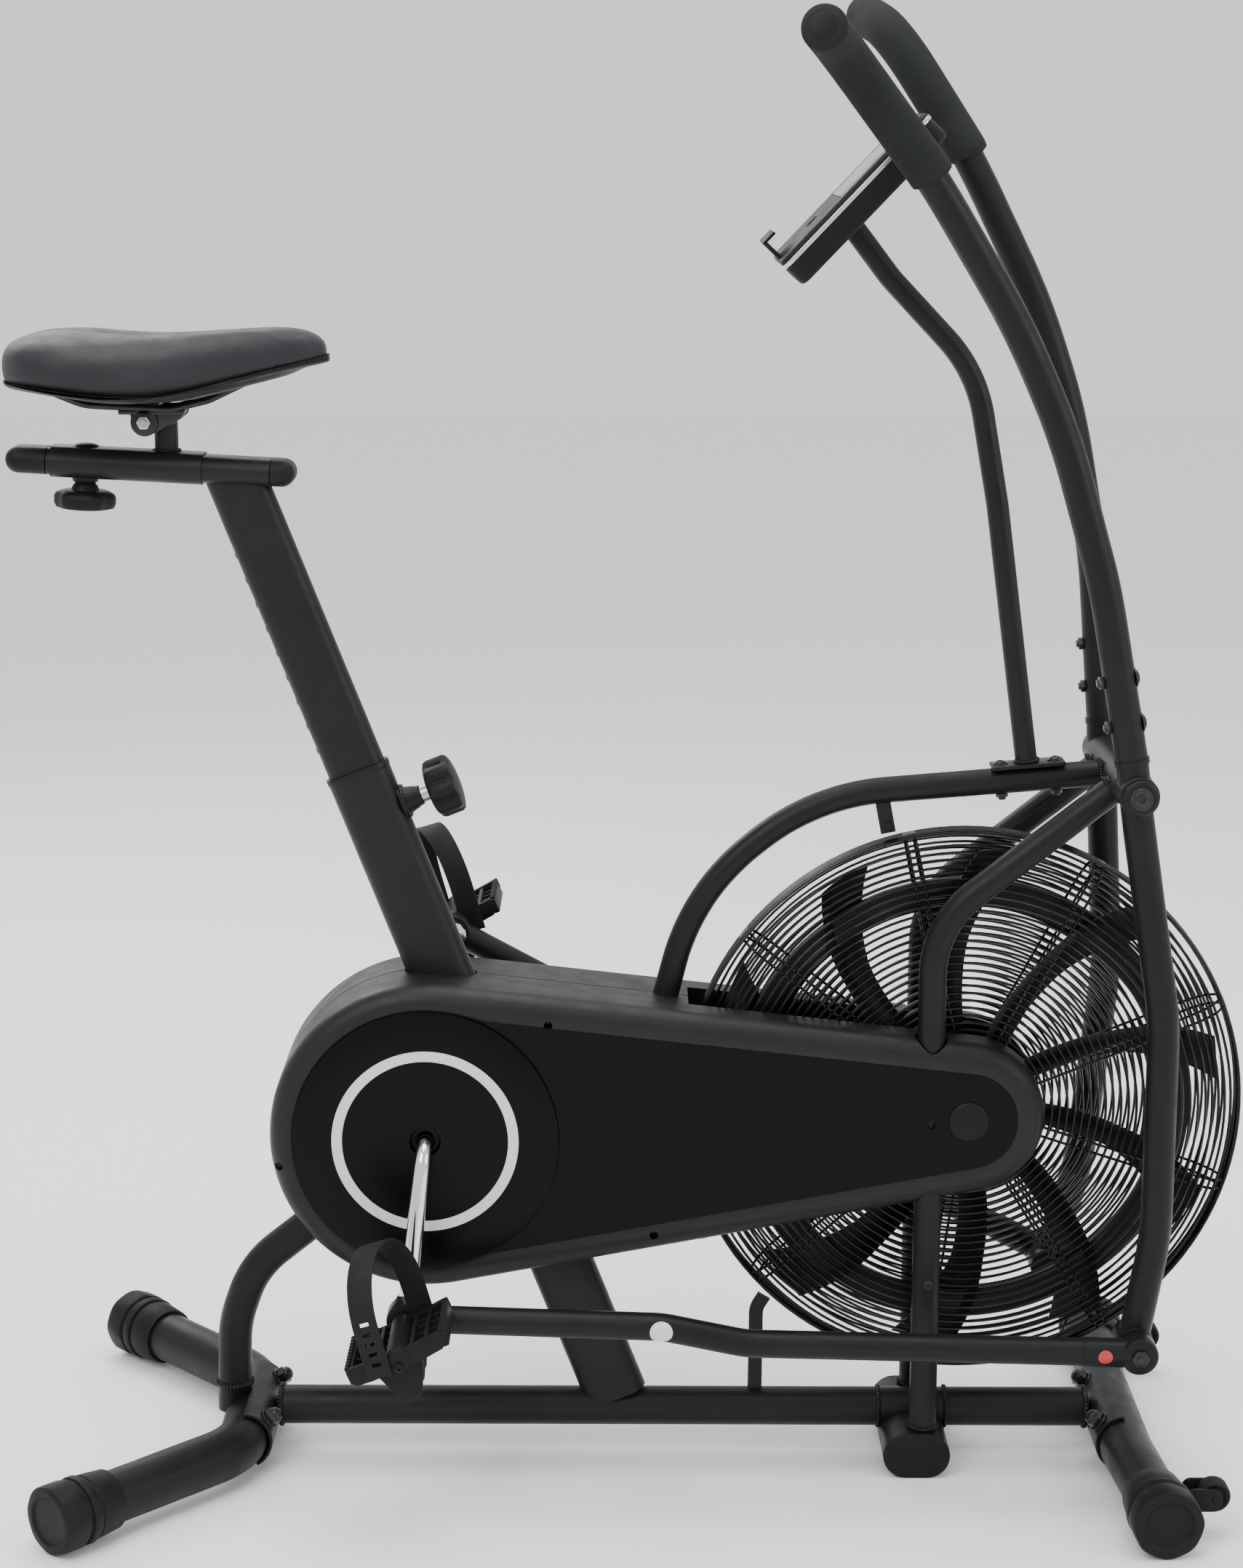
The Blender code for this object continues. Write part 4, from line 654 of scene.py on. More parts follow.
def build_saddle_plate(name, middle_x, facing):
    """Curved plate between rail and floor tube, its two bolts closed by cap nuts."""
    inner, outer = FOOT_RADIUS + 0.0002, FOOT_RADIUS + 0.0034
    low, high = radians(-62), radians(88)
    arc = [low + (high - low) * k / 18 for k in range(19)]
    outline = [(inner * cos(a) * facing, inner * sin(a)) for a in arc]
    outline += [(outer * cos(a) * facing, outer * sin(a)) for a in reversed(arc)]
    place = translation(middle_x, 0.07, FOOT_HEIGHT) @ UPRIGHT
    shapes = [slab(outline, place, 0.14, 0.0008, 1)]
    nuts = []
    for side in (-1, 1):
        lean = Vector((facing * 0.82, 0, 0.57)).normalized()
        root = Vector((middle_x, 0.052 * side, FOOT_HEIGHT)) + lean * (outer - 0.0006)
        nut_place = placed(root, lean)
        nuts.append(turned([(0, 0.0016), (0.0098, 0.0016), (0.0104, 0.001), (0.0104, 0), (0, 0)],
                           nut_place, 32))
        nuts += hex_nut(placed(root + lean * 0.0014, lean), 0.0155, 0.0075, dome=True)
    piece(f"{name}_plate", shapes, POWDER, "frame", f"{name}_saddle")
    piece(f"{name}_plate_nuts", nuts, BLACK_ZINC, "frame")


def build_seat_tube():
    """Flat-sided oval tube with a rolled lip at its mouth and the boss for the pull pin."""
    foot = SEAT_TUBE_FOOT - SEAT_UP * 0.002
    lip_low = SLEEVE_TOP - SEAT_UP * 0.0065
    piece(
        "seat_tube_sleeve",
        [
            sweep([foot, SLEEVE_TOP - SEAT_UP * 0.0005], oval(*SLEEVE_SECTION), Y),
            sweep([lip_low, lip_low + SEAT_UP * 0.001, SLEEVE_TOP - SEAT_UP * 0.001, SLEEVE_TOP],
                  oval(SLEEVE_SECTION[0] + 0.0016, SLEEVE_SECTION[1] + 0.0016), Y,
                  scales=[0.985, 1, 1, 0.985]),
        ],
        POWDER, "frame", "seat_tube",
    )
    root = SLEEVE_TOP - SEAT_UP * PIN_DROP + SEAT_FORE * 0.0285
    boss = [(0, 0.02), (0.0085, 0.02), (0.0095, 0.0192), (0.0098, 0.0165), (0.0112, 0.013), (0.0128, 0.007),
            (0.0152, 0.002), (0.016, 0), (0, 0)]
    bead = weld(root + SEAT_FORE * 0.003, SEAT_FORE, 0.0148, 0.0022, 22)
    piece("pin_boss", [turned(boss, placed(root, SEAT_FORE)), bead], POWDER, "frame")


def build_frame_tubes():
    """Rear brace, upper frame tube with its guard lug, handle pivot tube, and the cross foot."""
    brace_weld = weld((-0.3935, 0, 0.068), BRACE_PATH[1] - BRACE_PATH[0], BRACE_RADIUS, 0.003)
    piece("brace", [tube(BRACE_PATH, BRACE_RADIUS, 36), brace_weld], POWDER, "frame", "rear_brace")
    lug_path = [(0.2365, 0, 0.66), (0.2398, 0, 0.6425), (0.243, 0, 0.6265)]
    start, end = Vector(TOP_TUBE_PATH[-2]), Vector(TOP_TUBE_PATH[-1])
    top_end = end - (end - start).normalized() * (CROSS_RADIUS - 0.003)
    shapes = [
        tube(TOP_TUBE_PATH[:-1] + [top_end], TOP_TUBE_RADIUS, 32),
        strip(lug_path, 0.0145, 0.0042),
        rod_between((0.242, -0.0045, 0.6335), (0.242, 0.0045, 0.6335), 0.0042, 16),
        weld(top_end - (end - start).normalized() * 0.003, end - start, TOP_TUBE_RADIUS, 0.0026),
    ]
    piece("upper_frame_tube", shapes, POWDER, "frame", "top_tube")
    shaft = [(0, 0.1276), (0.0078, 0.1276), (0.008, 0.127), (0.008, 0.0866), (0.018, 0.0866),
             (0.019, 0.0856)]
    piece("pivot_cross_tube", [turned(mirrored(shaft), placed(PIVOT, Y, Z))], POWDER, "frame", "pivot_tube")
    half = 0.076
    middle = Vector((CROSS_FOOT_X, 0, 0.0225))
    section = flat_oval(0.065, 0.045, 14)
    ends = [middle - Y * (half - 0.003), middle + Y * (half - 0.003)]
    plugs = []
    for side in (-1, 1):
        face = middle + Y * side * half
        near = middle + Y * side * (half - 0.004)
        plugs.append(sweep([near, near + Y * side * 0.0005, face - Y * side * 0.0012, face],
                           section, X, scales=[0.93, 1.0, 1.0, 0.95]))
    piece("cross_foot_tube", [sweep(ends, section, X)], POWDER, "frame", "cross_foot")
    piece("cross_foot_plugs", plugs, MOULDED, "frame")


def build_strut(name, side):
    """Fork tube with its welds and the screw on its lower part."""
    path = sided(STRUT_PATH, side)
    run = (path[-1] - path[-2]).normalized()
    path[-1] = path[-1] - run * (CROSS_RADIUS - 0.004)
    screw_place = outward((STRUT_X + 0.001, (STRUT_Y + STRUT_RADIUS - 0.0006) * side, 0.196), side)
    shapes = [
        tube(path, STRUT_RADIUS, 32),
        weld((STRUT_X, STRUT_Y * side, 0.0475), Z, STRUT_RADIUS, 0.0026),
        weld(path[-1] - run * 0.004, run, STRUT_RADIUS, 0.0026),
    ]
    piece(f"fork_{name}", shapes, POWDER, "frame", f"strut_{name}")
    piece(f"fork_screw_{name}", dome_bolt(screw_place, 0.0038, 0.0026), BLACK_ZINC, "frame")


# ---------------------------------------------------------------- feet, caps and wheels
def cap_shapes(end, out):
    """End cap of a floor tube: faceted outer band, two grooves and a long tapered skirt."""
    face = end + out * 0.013
    place = placed(face, out, Z)
    band = [(0, -0.0022), (0.0215, -0.0022), (0.0225, -0.0012), (0.024, 0), (0.0292, 0),
            (0.0322, -0.0016, 0.0006), (CAP_RADIUS, -0.0048, 0.0012), (CAP_RADIUS, -0.0235, 0.0012),
            (0.0326, -0.0252, 0.0006), (0.0305, -0.0262)]
    skirt = [(0.0303, -0.03), (0.0322, -0.0312), (0.0325, -0.033), (0.0325, -0.0378), (0.0318, -0.0395),
             (0.03, -0.0402), (0.03, -0.0425), (0.0308, -0.0435), (0.0305, -0.05), (0.0287, -0.069),
             (0.0278, -0.07), (0.0252, -0.07), (0.0252, -0.03), (0, -0.03)]
    return [turned(band + skirt, place, 64, 8)]


def build_feet():
    for name, side in SIDES.items():
        for part, path in (("rear", REAR_FOOT_PATH), ("front", FRONT_FOOT_PATH)):
            ends = path if side < 0 else path[::-1]
            out = (ends[0] - ends[1]).normalized()
            shapes = cap_shapes(ends[0], out)
            body = f"rear_cap_{name}" if part == "rear" else "frame"
            if part == "front":
                shapes += wheel_fork(side)
            piece(f"{part}_end_cap_{name}", shapes, MOULDED, body, f"{part}_cap_{name}")
        build_wheel(name)


def wheel_fork(side):
    """Two ears on the front cap and the pin that the transport wheel turns on."""
    centre = pivot_of("transport_wheel_right_turn")
    centre.y = abs(centre.y) * side
    outline = rounded_rectangle(0.034, 0.022, 0.0085, 6)
    shapes = []
    for offset in (-1, 1):
        y = centre.y + 0.0125 * offset + 0.002
        place = translation(centre.x - 0.0105, y, 0.04) @ UPRIGHT
        shapes.append(slab(outline, place, 0.004, 0.0007))
    shapes.append(rod_between(centre - Y * 0.0155, centre + Y * 0.0155, 0.003, 16))
    return shapes


def build_wheel(name):
    centre = pivot_of(f"transport_wheel_{name}_turn")
    place = placed(centre, Y, Z)
    tyre = mirrored([(0.009, 0.0078), (0.0125, 0.0095), (0.014, 0.0088), (0.015, 0.0065), (0.015, 0.001),
                     (0.0145, 0.0004)])
    hub = mirrored([(0.0034, 0.0092), (0.006, 0.0092), (0.0066, 0.0078), (0.0092, 0.007)])
    piece(f"wheel_tyre_{name}", [turned(tyre, place, 40)], RUBBER, f"transport_wheel_{name}",
          f"transport_wheel_{name}")
    piece(f"wheel_hub_{name}", [turned(hub, place, 32)], MOULDED, f"transport_wheel_{name}")


# ---------------------------------------------------------------- housing
SHOULDER = 0.019
PANEL_INSET = 0.027
COVER_SCREWS = ((-0.081, 0.4545), (0.2835, 0.357), (0.02, 0.2465))


def housing_outline(inset=0.0, arc_steps=44):
    """Two circles and the lines that touch both, as (x, z) points, drawn in by an inset."""
    big, small = DRUM_RADIUS - inset, NOSE_RADIUS - inset
    span = FAN - CRANK
    slope = atan2(span.z, span.x)
    touch = acos((big - small) / hypot(span.x, span.z))
    outline = []
    for step in range(arc_steps + 1):
        angle = slope - touch + 2 * touch * step / arc_steps
        outline.append((FAN.x + small * cos(angle), FAN.z + small * sin(angle)))
    for step in range(arc_steps * 2 + 1):
        angle = slope + touch + 2 * (pi - touch) * step / (arc_steps * 2)
        outline.append((CRANK.x + big * cos(angle), CRANK.z + big * sin(angle)))
    return outline


def lofted(rings):
    """A closed skin over rings of (x, z) points at given places across the bike."""
    bm = bmesh.new()
    made = [[bm.verts.new((x, y, z)) for x, z in outline] for y, outline in rings]
    for ring, after in zip(made, made[1:]):
        for k in range(len(ring)):
            beside = (k + 1) % len(ring)
            bm.faces.new((ring[k], ring[beside], after[beside], after[k]))
    bm.faces.new(made[0][::-1])
    bm.faces.new(made[-1])
    return bm


def build_cover(name, side):
    """Half of the housing: rounded shoulder, sunk side panel, arch for the guard, and screw holes."""
    deep = COVER_HALF_DEPTH
    steps = [(0.0012, 0.0002), (0.0, 0.0012), (0.0, deep - SHOULDER)]
    for k in range(1, 10):
        angle = pi / 2 * k / 9
        steps.append((SHOULDER * (1 - cos(angle)), deep - SHOULDER * (1 - sin(angle))))
    steps += [(PANEL_INSET - 0.0009, deep), (PANEL_INSET, deep - 0.0006)]
    rings = [(y * side, housing_outline(inset)) for inset, y in steps]
    shell = lofted(rings)
    foot_tab = turned(
        [(0, -0.0035), (0.016, -0.0035), (0.0175, -0.001), (0.0175, 0.008), (0.016, 0.01), (0, 0.01)],
        outward((0.066, 0.0235 * side, 0.246), side), 32,
    )
    cover = piece(f"housing_{name}", [shell], HOUSING, "frame", f"{name}_cover")
    arch = drum(ARCH_RADIUS, ARCH_HALF_WIDTH, -0.01, outward(FAN, side), 120)
    wide, deep_tube = SLEEVE_SECTION
    seat_tube_room = sweep([SEAT_TUBE_FOOT, SLEEVE_TOP], oval(wide + 0.0024, deep_tube + 0.0024), Y)
    cutters = [arch, seat_tube_room]
    strut_room = STRUT_RADIUS + 0.0024
    cutters.append(drum(strut_room, 0.2, -0.2, placed((STRUT_X, STRUT_Y * side, FAN.z), Z), 40))
    for x, z in (*COVER_SCREWS, (-0.3385, 0.313)):
        cutters.append(drum(0.0042, 0.002, -0.012, outward((x, deep * side, z), side), 24))
    cutters.append(drum(0.015, 0.004, -0.01, outward((CRANK.x, deep * side, CRANK.z), side), 40))
    carve(cover, cutters)
    piece(f"housing_tab_{name}", [foot_tab], HOUSING, "frame")
    panel_place = translation(0, (deep - 0.0005) * side, 0) @ UPRIGHT
    panel = slab(housing_outline(PANEL_INSET + 0.0004, 44), panel_place, -0.0004 * side)
    made = piece(f"side_panel_{name}", [panel], PANEL, "frame")
    holes = [drum(0.0046, 0.01, -0.01, outward((x, deep * side, z), side), 24) for x, z in COVER_SCREWS[1:]]
    holes.append(drum(0.015, 0.01, -0.01, outward((CRANK.x, deep * side, CRANK.z), side), 40))
    carve(made, holes)
    screws = []
    for x, z in COVER_SCREWS:
        screws += dome_bolt(outward((x, (deep - 0.0105) * side, z), side), 0.0028, 0.0024)
    piece(f"housing_screws_{name}", screws, BLACK_ZINC, "frame", slot="black_plastic")
    build_crank_disc(name, side)


def build_crank_disc(name, side):
    """Round trim round the crank with its white ring, and the dark bush in its hole."""
    face = COVER_HALF_DEPTH + 0.0003
    place = outward((CRANK.x, 0, CRANK.z), side)
    radius = 0.1275
    disc = [(0.0148, face + 0.0036), (0.079, face + 0.0036), (0.089, face + 0.0036),
            (radius - 0.0022, face + 0.0036), (radius - 0.0006, face + 0.003), (radius, face + 0.0014),
            (radius, face - 0.004), (0.0148, face - 0.004)]
    piece(f"crank_trim_{name}", [turned(disc, place, 120)], PANEL, "frame", f"crank_disc_{name}")
    low = face + 0.0036
    ring = [(0.079, low - 0.001), (0.079, low + 0.0006), (0.0794, low + 0.001), (0.0886, low + 0.001),
            (0.089, low + 0.0006), (0.089, low - 0.001)]
    piece(f"trim_ring_{name}", [turned(ring[::-1], place, 120)], WHITE, "frame", f"white_ring_{name}")
    bush = [(0.0096, face - 0.006), (0.0096, face - 0.001), (0.0104, face - 0.0004), (0.0138, face - 0.0016),
            (0.0146, face - 0.006)]
    piece(f"crank_bush_{name}", [turned(bush[::-1], place, 40)], MOULDED, "frame")


def build_housing():
    for name, side in SIDES.items():
        build_cover(name, side)
    low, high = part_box("axle_cap")
    radius = (high.z - low.z) / 2
    cap = [(0, 0.0042), (0.006, 0.0041), (0.012, 0.0037), (radius - 0.003, 0.003), (radius - 0.0008, 0.002),
           (radius, 0.0006), (radius, -0.002), (0, -0.002)]
    for name, side in SIDES.items():
        place = outward((FAN.x, COVER_HALF_DEPTH * side, FAN.z), side)
        replaced = ["axle_cap"] if side < 0 else []
        piece(f"axle_cover_{name}", [turned(cap, place, 64)], MOULDED, "frame", *replaced)


# ---------------------------------------------------------------- fan and its wire guard
WIRE_RADIUS = 0.0014
RING_PITCH = 0.0074
SPOKES = 9
FAN_BLADES = 10


def guard_depth(radius):
    """How far the guard stands from the middle plane: flat, then rounding over to the rim."""
    flat = 0.232
    if radius <= flat:
        return CAGE_HALF_WIDTH - 0.0016
    share = (radius - flat) / (CAGE_RADIUS - 0.001 - flat)
    return 0.0035 + (CAGE_HALF_WIDTH - 0.0051) * sqrt(max(0.0, 1 - share * share))


def hoop(radius, depth, side, wire):
    """A wire ring of the guard."""
    sides = 6
    profile = [
        (radius + wire * cos(2 * pi * k / sides), depth - wire * sin(2 * pi * k / sides))
        for k in range(sides)
    ]
    return turned(profile, outward(FAN, side), 112)


def build_guard(name, side):
    """Half of the wire guard: closely spaced hoops on paired spokes, clipped together at the rim."""
    hoops = []
    radius = 0.048
    while radius < CAGE_RADIUS - 0.01:
        hoops.append(hoop(radius, guard_depth(radius), side, WIRE_RADIUS))
        radius += RING_PITCH * (1.0 if radius < 0.232 else 0.85)
    for share in (0.45, 0.72, 0.92):
        radius = CAGE_RADIUS - 0.0035 + 0.002 * share
        hoops.append(hoop(radius, 0.0205 * (1 - share) + 0.0035 * share, side, WIRE_RADIUS))
    hoops.append(hoop(CAGE_RADIUS - 0.003, 0.0034, side, 0.0024))
    spokes = []
    for spoke in range(SPOKES):
        middle = radians(142 - 360 / SPOKES * spoke)
        for shift in (-0.0045, 0.0045):
            path = []
            for step in range(25):
                reach = 0.046 + (CAGE_RADIUS - 0.0475) * step / 24
                angle = middle + shift / max(reach, 0.07)
                depth = guard_depth(reach) - 2 * WIRE_RADIUS
                out = Vector((reach * cos(angle), max(depth, 0.0034) * side, reach * sin(angle)))
                path.append(FAN + out)
            spokes.append(tube(path, WIRE_RADIUS, 6, Y))
        if side < 0:
            out = Vector((cos(middle), 0, sin(middle)))
            clip = placed(FAN + out * (CAGE_RADIUS - 0.0016), out, Y)
            spokes.append(brick((0.013, 0.0135, 0.0028), clip, 0.0009))
    hub = [(0.03, 0.0268), (0.046, 0.0268), (0.0475, 0.0262), (0.0475, 0.0246), (0.046, 0.024),
           (0.03, 0.024)]
    hoops.append(turned(hub, outward(FAN, side), 64))
    piece(f"guard_{name}", hoops, WIRE, "frame", f"cage_{name}", sharp=60)
    piece(f"guard_spokes_{name}", spokes, WIRE, "frame", sharp=60)


def fan_blade(index):
    """One paddle: a curved, twisted sheet that widens past the flat ring."""
    thick = 0.0022
    sections, across = 14, 8
    start = 2 * pi * (index + 0.25) / FAN_BLADES
    root, tip = 0.046, 0.251
    bm = bmesh.new()
    sheets = []
    for face in (-1, 1):
        rows = []
        for s in range(sections + 1):
            share = s / sections
            reach = root + (tip - root) * share
            width = 0.03 + 0.004 * sin(pi * share) + 0.03 * max(0.0, share - 0.55) / 0.45
            pitch = radians(40 - 12 * share)
            lean = 0.3 * share * share
            row = []
            for c in range(across + 1):
                u = (c / across - 0.5) * width
                arch = 0.0045 * (1 - (2 * c / across - 1) ** 2)
                tangential = u * cos(pitch)
                depth = u * sin(pitch) + arch + face * thick / 2
                angle = start + lean + tangential / reach
                row.append(bm.verts.new(FAN + Vector((reach * cos(angle), depth, -reach * sin(angle)))))
            rows.append(row)
        sheets.append(rows)
    back, front = sheets
    for s in range(sections):
        for c in range(across):
            bm.faces.new((front[s][c], front[s][c + 1], front[s + 1][c + 1], front[s + 1][c]))
            bm.faces.new((back[s][c], back[s + 1][c], back[s + 1][c + 1], back[s][c + 1]))
        bm.faces.new((front[s][0], front[s + 1][0], back[s + 1][0], back[s][0]))
        bm.faces.new((front[s][across], back[s][across], back[s + 1][across], front[s + 1][across]))
    for c in range(across):
        bm.faces.new((front[0][c], back[0][c], back[0][c + 1], front[0][c + 1]))
        bm.faces.new((front[sections][c], front[sections][c + 1], back[sections][c + 1], back[sections][c]))
    return bm


def build_fan():
    place = placed(FAN, Y, Z)
    hub = mirrored([(0.006, 0.017), (0.02, 0.017), (0.023, 0.016), (0.046, 0.015), (0.0505, 0.0125),
                    (0.052, 0.009)])
    ring = mirrored([(0.194, 0.0035), (0.195, 0.0042), (0.221, 0.0042), (0.222, 0.0035)])
    shapes = [turned(hub, place, 64), turned(ring, place, 120)]
    shapes += [fan_blade(index) for index in range(FAN_BLADES)]
    piece("fan_wheel", shapes, FAN_PLASTIC, "fan", "fan")
    for name, side in SIDES.items():
        build_guard(name, side)


# ---------------------------------------------------------------- crank, rods and pedals
CRANK_ARM_RADIUS = 0.0088
CRANK_LENGTH = 0.154
EYE_Y = (0.1055, 0.1235)


def build_crank():
    """Chromed one-piece crank with flared arms and eyes, and the two pedal axles."""
    shapes = []
    for name, side in SIDES.items():
        pin_place = Vector((CRANK_PIN[name].x, sum(EYE_Y) / 2 * side, CRANK_PIN[name].z))
        knee = CRANK + Y * 0.0955 * side
        path = bent_path([CRANK + Y * 0.03 * side, knee, pin_place], 0.026, 14)
        swell = []
        for point in path:
            down = (point - knee).dot((pin_place - knee).normalized())
            share = min(1.0, max(0.0, down / CRANK_LENGTH))
            swell.append(0.84 + 0.22 * share)
        shapes.append(sweep(path, circle(CRANK_ARM_RADIUS, 32), X, scales=swell))
        eye_place = outward((pin_place.x, 0, pin_place.z), side)
        low, high = EYE_Y
        eye = [(0, high), (0.0125, high), (0.0142, high - 0.0008), (0.015, high - 0.0026),
               (0.015, low + 0.0026), (0.0142, low + 0.0008), (0.0125, low), (0, low)]
        shapes.append(turned(eye, eye_place, 44))
        axle = [(0, 0.2316), (0.0052, 0.2316), (0.0063, 0.2306), (0.0063, 0.1536), (0.0058, 0.1531),
                (0, 0.1531)]
        piece(f"pedal_shaft_{name}", [turned(axle, eye_place, 32)], CHROME, "crank", f"pedal_axle_{name}")
        bolt_low = [(0, low + 0.0002), (0.005, low + 0.0002), (0.0056, low - 0.0012), (0.005, low - 0.0022),
                    (0, low - 0.0022)]
        shapes.append(turned(bolt_low, eye_place, 24))
    piece("crank_arms", shapes, CHROME, "crank", "crank")


def build_rod(name, side):
    """Foot rod: a tube with a shallow S-bend, its front fitting, both eyes, bolt and marks."""
    front = arm_foot(SWING[name])
    rear = Vector((CRANK_PIN[name].x, 0, CRANK_PIN[name].z))
    along = (front - rear).normalized()
    across = Vector((-along.z, 0, along.x))
    offsets = ((0.0, 0.0), (0.35, 0.0035), (0.465, -0.009), (1.0, 0.0))
    corners = [rear + along * ROD_LENGTH * share + across * rise for share, rise in offsets]
    corners = [Vector((c.x, ROD_Y * side, c.z)) for c in corners]
    corners[0] = corners[0] + along * 0.012
    corners[-1] = corners[-1] - along * 0.006
    run = (corners[-1] - corners[-2]).normalized()
    seam = corners[-1] - run * 0.047
    inner = ROD_Y - 0.0132
    rear_place = outward((rear.x, 0, rear.z), side)
    front_place = outward((front.x, 0, front.z), side)
    rear_eye = [(0.0072, ROD_Y + 0.0106), (0.0155, ROD_Y + 0.0106), (0.017, ROD_Y + 0.0098),
                (0.0175, ROD_Y + 0.008), (0.0175, inner + 0.002), (0.0165, inner + 0.0005), (0.0072, inner)]
    front_eye = [(0, ROD_Y + 0.0132), (0.0135, ROD_Y + 0.0132), (0.0165, ROD_Y + 0.0122),
                 (0.0178, ROD_Y + 0.01), (0.018, inner + 0.003), (0.0168, inner + 0.0008), (0.015, inner),
                 (0, inner)]
    shapes = [
        tube(bent_path(corners, 0.1), ROD_RADIUS, 32),
        tube([seam, seam + run * 0.0012, corners[-1]], ROD_RADIUS + 0.0007, 32),
        turned(rear_eye, rear_place, 44),
        turned(front_eye, front_place, 44),
    ]
    piece(f"rod_{name}", shapes, POWDER, f"rod_{name}", f"foot_rod_{name}")
    nut_place = outward((front.x, (ROD_Y + 0.0131) * side, front.z), side)
    piece(f"rod_nut_{name}", hex_nut(nut_place, 0.015, 0.0042), BLACK_ZINC, f"rod_{name}")
    if name == "right":
        build_mark("front_mark_right", seam + run * 0.02, 0.0068, side, RED)
        build_mark("rear_mark_right", corners[1].lerp(corners[2], 0.06) - run * 0.006, 0.0108, side, WHITE)


def build_mark(name, centre, radius, side, look):
    """A plain round sticker that wraps the right rod's outer face."""
    bm = bmesh.new()
    rings = []
    lift = ROD_RADIUS + 0.0009
    for ring in range(7):
        reach = radius * ring / 6
        row = []
        for k in range(36):
            angle = 2 * pi * k / 36
            u, v = reach * cos(angle), reach * sin(angle)
            out = lift * cos(v / lift)
            row.append(bm.verts.new((centre.x + u, centre.y + side * out, centre.z + lift * sin(v / lift))))
        rings.append(row)
    bridge(bm, rings[1:])
    bm.faces.new(rings[1])
    bmesh.ops.delete(bm, geom=rings[0], context="VERTS")
    outer = bmesh.ops.extrude_face_region(bm, geom=bm.faces[:])
    moved = [v for v in outer["geom"] if isinstance(v, bmesh.types.BMVert)]
    bmesh.ops.translate(bm, vec=(0, -0.0006 * side, 0), verts=moved)
    piece(name, [bm], look, "rod_right")


PEDAL_TILT = radians(-24)
PEDAL_Y = (0.1575, 0.243)


def pedal_place(name, side):
    pin = CRANK_PIN[name]
    middle = sum(PEDAL_Y) / 2 * side
    return translation(pin.x, middle, pin.z) @ Matrix.Rotation(PEDAL_TILT, 4, "Y")


def build_pedal(name, side):
    """Pedal: toothed frame, spindle barrel, ribs, keel, and its rubber strap."""
    width = PEDAL_Y[1] - PEDAL_Y[0]
    place = pedal_place(name, side)
    side_outline = [(-0.049, -0.0045), (-0.049, 0.007), (-0.0455, 0.0098), (-0.02, 0.0072), (0.015, 0.0072),
                    (0.044, 0.01), (0.049, 0.0078), (0.049, 0.001), (0.042, -0.007), (0.016, -0.01),
                    (-0.03, -0.01), (-0.044, -0.0085)]
    shapes = []
    for y in (-width / 2 + 0.006, width / 2):
        shapes.append(slab(side_outline, place @ translation(0, y, 0) @ UPRIGHT, 0.006, 0.0009))
    for x in (-0.0455, 0.0455):
        shapes.append(brick((0.006, width - 0.006, 0.015), place @ translation(x, 0, 0.0005), 0.001))
    for x in (-0.03, -0.0165, 0.0165, 0.0305):
        shapes.append(brick((0.0042, width - 0.008, 0.013), place @ translation(x, 0, 0.001), 0.0008))
    for y in (-0.026, -0.009, 0.009, 0.026):
        shapes.append(brick((0.088, 0.003, 0.011), place @ translation(0, y, -0.001), 0.0006))
    barrel = [(0.0072, width / 2 - 0.0004), (0.0108, width / 2 - 0.0004), (0.0116, width / 2 - 0.0014),
              (0.0116, -width / 2 + 0.0014), (0.0108, -width / 2 + 0.0004), (0.0072, -width / 2 + 0.0004)]
    shapes.append(turned(barrel, place @ Matrix.Rotation(-pi / 2, 4, "X"), 36))
    teeth = 11
    for x in (-0.047, 0.047):
        for k in range(teeth):
            y = (k - (teeth - 1) / 2) * (width - 0.01) / (teeth - 1)
            tooth = place @ translation(x, y, 0.0085)
            shapes.append(brick((0.0048, 0.0042, 0.005), tooth, 0.0008, 1))
    keel_outline = [(-0.027, -0.007), (-0.0205, -0.026), (-0.015, -0.0405), (-0.0105, -0.0432),
                    (0.002, -0.0432), (0.006, -0.04), (0.014, -0.024), (0.021, -0.007)]
    for y in (-width / 2 + 0.016, 0.0035, width / 2 - 0.009):
        shapes.append(slab(keel_outline, place @ translation(0, y, 0) @ UPRIGHT, 0.007, 0.0009))
    shapes.append(brick((0.013, width - 0.02, 0.005), place @ translation(-0.0042, 0, -0.0408), 0.0012))
    piece(f"pedal_body_{name}", shapes, MOULDED, f"pedal_{name}", f"pedal_{name}")
    cap = [(0, 0.003), (0.0085, 0.0028), (0.0104, 0.0014), (0.0106, 0), (0, 0)]
    cap_place = placed(place @ Vector((0, (width / 2 - 0.0006) * side, 0)), Y * side, Z)
    piece(f"pedal_cap_{name}", [turned(cap, cap_place, 32)], MOULDED, f"pedal_{name}")
    build_strap(name, side, width, place)


def strap_shift(out):
    """How far along the pedal the band stands at a distance from its middle, the outer leg back."""
    return -0.42 * out


